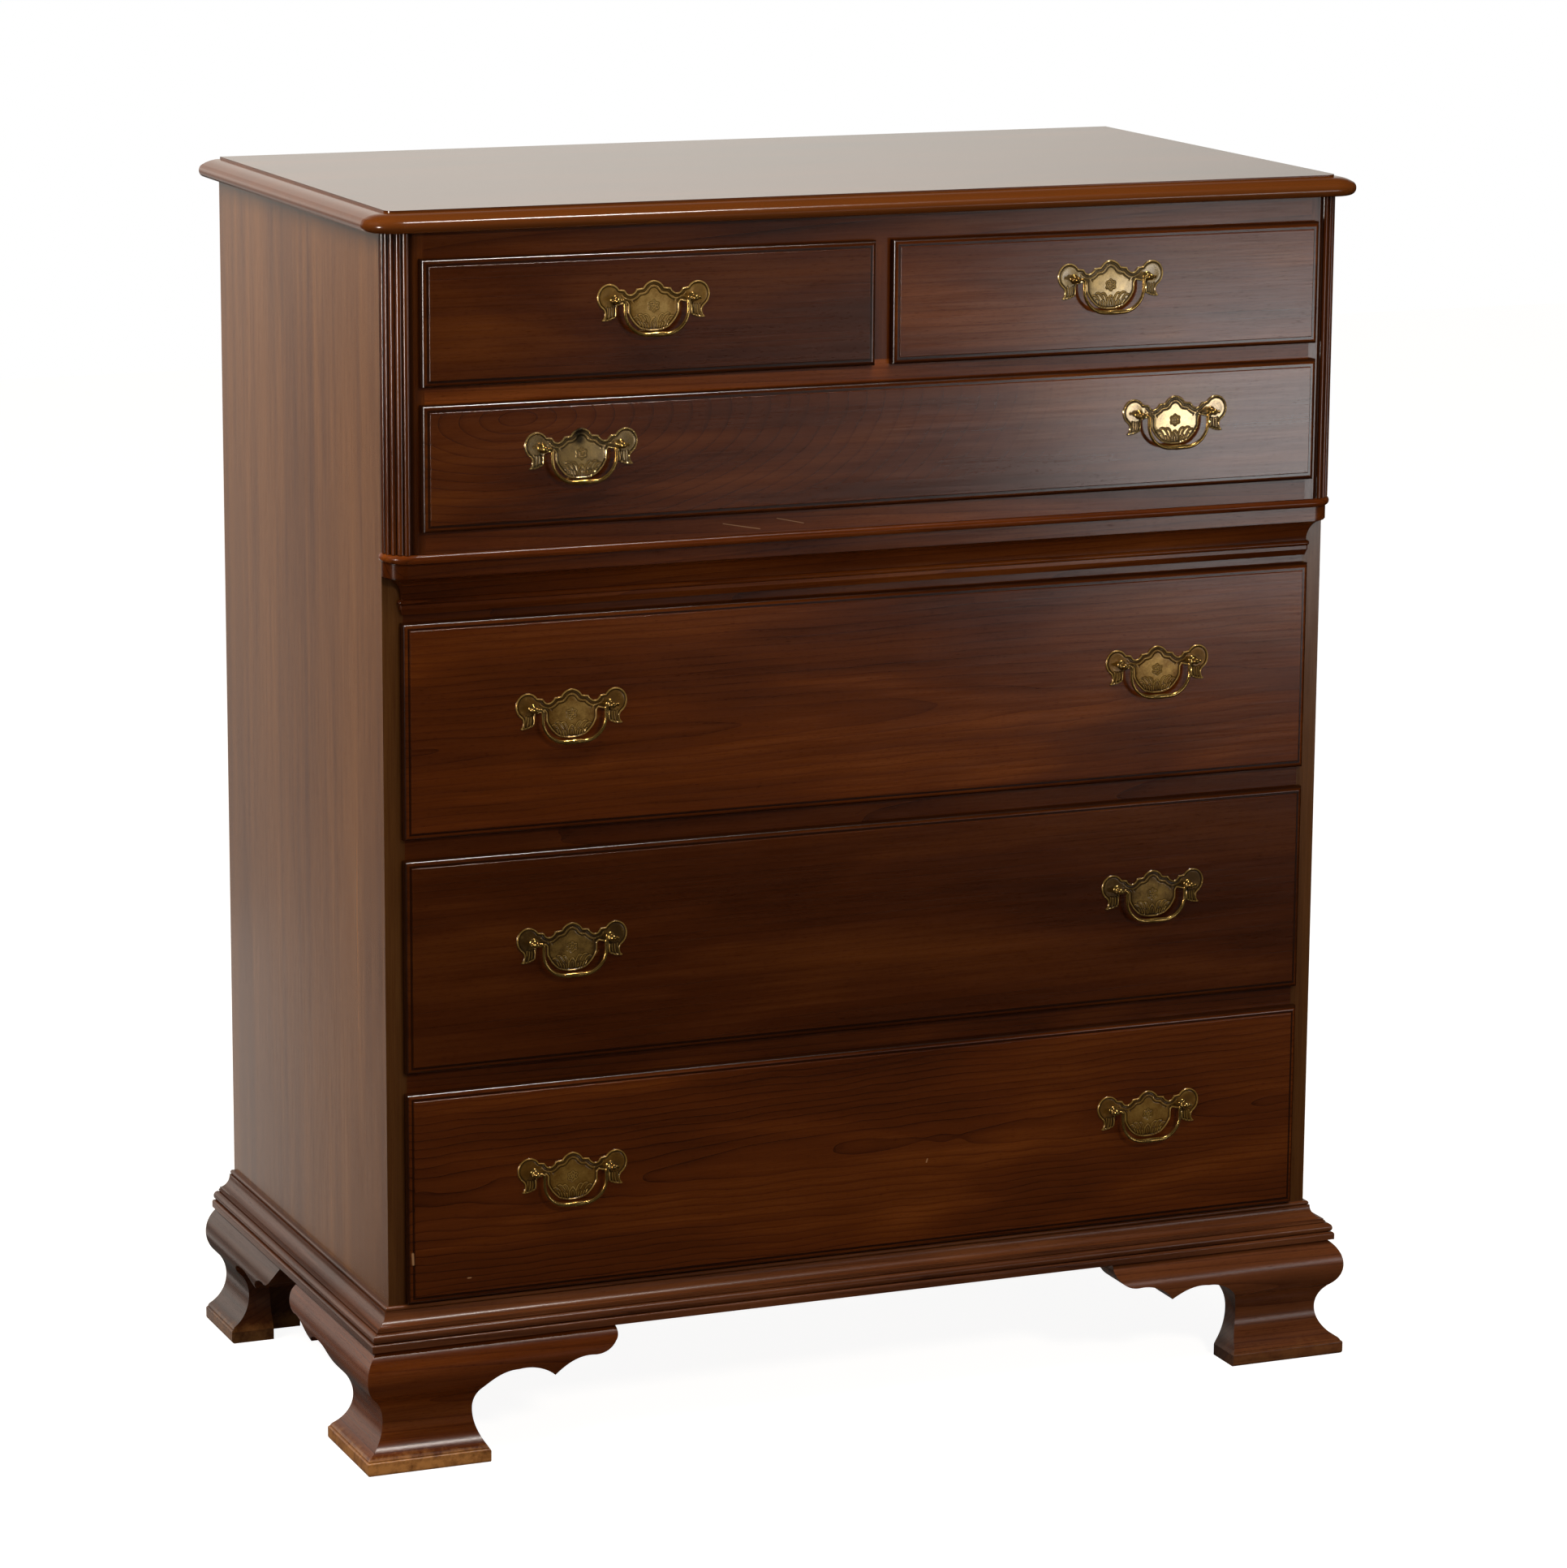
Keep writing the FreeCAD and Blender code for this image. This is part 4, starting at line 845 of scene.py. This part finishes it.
def joinMeshes(name, placed, finish):
    # placed: (mesh, offset) pairs
    verts, faces, marks = [], [], []
    for part, offset in placed:
        start = len(verts)
        verts += [vert.co + offset for vert in part.vertices]
        faces += [tuple(start + i for i in face.vertices) for face in part.polygons]
        values = np.zeros(len(part.vertices))
        layer = part.attributes.get("recess")
        if layer is not None:
            layer.data.foreach_get("value", values)
        marks.append(values)
    mesh = bpy.data.meshes.new(name)
    mesh.from_pydata(verts, [], faces)
    mesh.attributes.new("recess", "FLOAT", "POINT").data.foreach_set("value", np.concatenate(marks))
    mesh.shade_smooth()
    mesh.materials.append(finish)
    return mesh


def showPiece(name, mesh, body, *stands):
    piece = bpy.data.objects.new(name, mesh)
    bpy.context.scene.collection.objects.link(piece)
    mesh.set_sharp_from_angle(angle=math.radians(42))
    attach(piece, body)
    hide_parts(*stands)
    return piece


def solidMesh(name, verts, faces):
    mesh = bpy.data.meshes.new(name)
    mesh.from_pydata([Vector(vert) * mm for vert in verts], [], faces)
    work = bmesh.new()
    work.from_mesh(mesh)
    bmesh.ops.remove_doubles(work, verts=work.verts, dist=1e-7)
    bmesh.ops.recalc_face_normals(work, faces=work.faces)
    work.to_mesh(mesh)
    work.free()
    return mesh


def spinProfile(name, profile, steps):
    # profile: (radius, distance ahead), turned about the post's axis
    verts, faces = [], []
    for radius, out in profile:
        verts += [(radius * math.cos(math.tau * i / steps), -out, radius * math.sin(math.tau * i / steps))
                  for i in range(steps)]
    for ring in range(len(profile) - 1):
        row = ring * steps
        faces += [(row + i, row + (i + 1) % steps, row + steps + (i + 1) % steps, row + steps + i)
                  for i in range(steps)]
    last = (len(profile) - 1) * steps
    faces += [tuple(range(steps))[::-1], tuple(range(last, last + steps))]
    return solidMesh(name, verts, faces)


def makePostMesh():
    # turned in one: collar, rings, waisted neck and a ball
    start = pull["plateThick"]
    ball = start + pull["postReach"]
    collar = pull["collarRadius"]
    profile = [(pull["neckRadius"], start - 0.9), (collar - 0.6, start - 0.7), (collar, start - 0.1),
               (collar - 0.3, start + 0.6), (3.4, start + 1.1), (2.7, start + 1.4), (2.95, start + 2.0),
               (2.6, start + 2.6), (1.9, start + 3.0), (1.75, start + 3.7)]
    first = -math.acos(1.8 / pull["ballRadius"])
    for i in range(15):
        t = first + (math.pi / 2 - first) * i / 15
        profile.append((pull["ballRadius"] * math.cos(t), ball + pull["ballRadius"] * math.sin(t)))
    profile.append((0.01, ball + pull["ballRadius"]))
    return spinProfile("post", profile, 28)


def makeNutMesh():
    # hexagon nut with its corners turned off
    corner = pull["nutAcross"] / math.sqrt(3)
    back = -pull["frontThick"]
    far = back - pull["nutThick"]
    return spinProfile("nut", [(corner, back), (corner, far + 0.7), (corner - 0.7, far)], 6)


def bailPath():
    # from the left pin's end round to the right one, mirrored at the middle of the grip
    pin = pull["boring"] / 2 + pull["ballRadius"]
    end = pin + pull["tail"]
    leg, half, bend = pull["leg"], pull["bailHalf"], pull["bend"]
    path, thick = [], []

    def add(x, z, t):
        path.append((x, 0.0, z))
        thick.append(t)

    for x, t in ((end, 0.9), (end - 0.3, 1.4), (end - 0.9, 1.75), (end - 1.6, 1.75), (end - 2.1, 1.3),
                 (end - 2.5, 1.3), (pin + 0.1, 1.4)):
        add(x, 0.0, t)
    inner = pull["boring"] / 2 - pull["ballRadius"] - 0.2
    for i in range(4):
        add(inner - (inner - half - bend) * i / 4, 0.0, 1.45 + 0.15 * i / 4)
    for i in range(7):
        t = math.pi / 2 * (1 + i / 6)
        add(half + bend + bend * math.cos(t), -bend + bend * math.sin(t), leg + 0.1)
    for i in range(1, 5):
        add(half, -bend - (pull["straight"] - bend) * i / 4, leg + 0.1 - 0.1 * i / 4)
    corner = pull["corner"]
    flat = half - corner
    for i in range(1, 29):
        t = math.pi / 2 * i / 28
        add(flat + corner * math.cos(t), -pull["straight"] - corner * math.sin(t), leg + 0.62 * (i / 28) ** 2.2)
    low = path[-1][2]
    for i in range(1, 11):
        # the grip swells over its middle
        add(flat * (1 - i / 10), low, leg + 0.62 + (pull["grip"] - leg - 0.62) * math.sin(math.pi / 2 * i / 10) ** 2)
    path += [(-x, y, z) for x, y, z in reversed(path[:-1])]
    thick += list(reversed(thick[:-1]))
    return path, thick


plateLine = outlinePoints(0.5)
chased = drawChasing()
plateBase = makePlateMesh(plateLine, [tuple(point)[:2] for line in chased for point in line[0]])
print("plate stamped:", len(plateBase.vertices), "points")
turnedBrass = makeBrass("antique brass turned", {"body": "#a3803f", "roughness": 0.20, "metal": 0.92, "coat": 0.3})
plateMesh = joinMeshes("plate", [(mesh, Vector()) for mesh in [plateBase] + makeChasing(plateLine, chased, turnedBrass)],
                       turnedBrass)
postMesh = makePostMesh()
nutMesh = makeNutMesh()
bailLine, bailThick = bailPath()
bailMesh = runTree(sweepTree, bailLine, thickness=bailThick, Sides=16, Finish=turnedBrass)
drawerPulls = {"top_left": ("",), "top_right": ("",), "second": ("_left", "_right"), "third": ("_left", "_right"),
               "fourth": ("_left", "_right"), "bottom": ("_left", "_right")}
finishLooks = {
    "top_left": {"body": "#80602a"}, "top_right": {"body": "#84704a", "roughness": 0.22, "coat": 0.7},
    "second": {"body": "#9d855b", "roughness": 0.15, "coat": 1.0, "metal": 0.75,
               "stains": ((-304.5, 980, -304, 972, 7.5),)},
    "third": {"body": "#6a4a1a", "rubbed": "#d0ac62"}, "fourth": {"body": "#4a3413", "rubbed": "#b89650"},
    "bottom": {"body": "#6a4813", "rubbed": "#b3924a", "roughness": 0.36},
}
for drawer, sides in drawerPulls.items():
    bails = [drawer + "_bail" + side for side in sides]
    places = []
    for bail in bails:
        low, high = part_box(bail)
        places.append(Vector(((low.x + high.x) / 2, (low.y + high.y) / 2, high.z - 1.6 * mm)))
    face = places[0].y + (pull["postReach"] + pull["plateThick"]) * mm
    plateBrass = makeBrass("antique brass plate " + drawer, finishLooks[drawer], face)
    half = pull["boring"] / 2 * mm
    plates, posts = [], []
    for place in places:
        spot = Vector((place.x, face, place.z))
        plates.append((plateMesh, spot))
        for side in (-1, 1):
            centre = spot + Vector((side * half, 0, 0))
            posts += [(postMesh, centre), (nutMesh, centre)]
    showPiece(drawer + "_plate_work", joinMeshes(drawer + "_plate_work", plates, plateBrass),
              "drawer_" + drawer, drawer + "_plates")
    showPiece(drawer + "_post_work", joinMeshes(drawer + "_post_work", posts, turnedBrass),
              "drawer_" + drawer, drawer + "_posts")
    for bail, place in zip(bails, places):
        showPiece(bail + "_work", joinMeshes(bail + "_work", [(bailMesh, place)], turnedBrass), "pull_" + bail, bail)
print("pulls made")
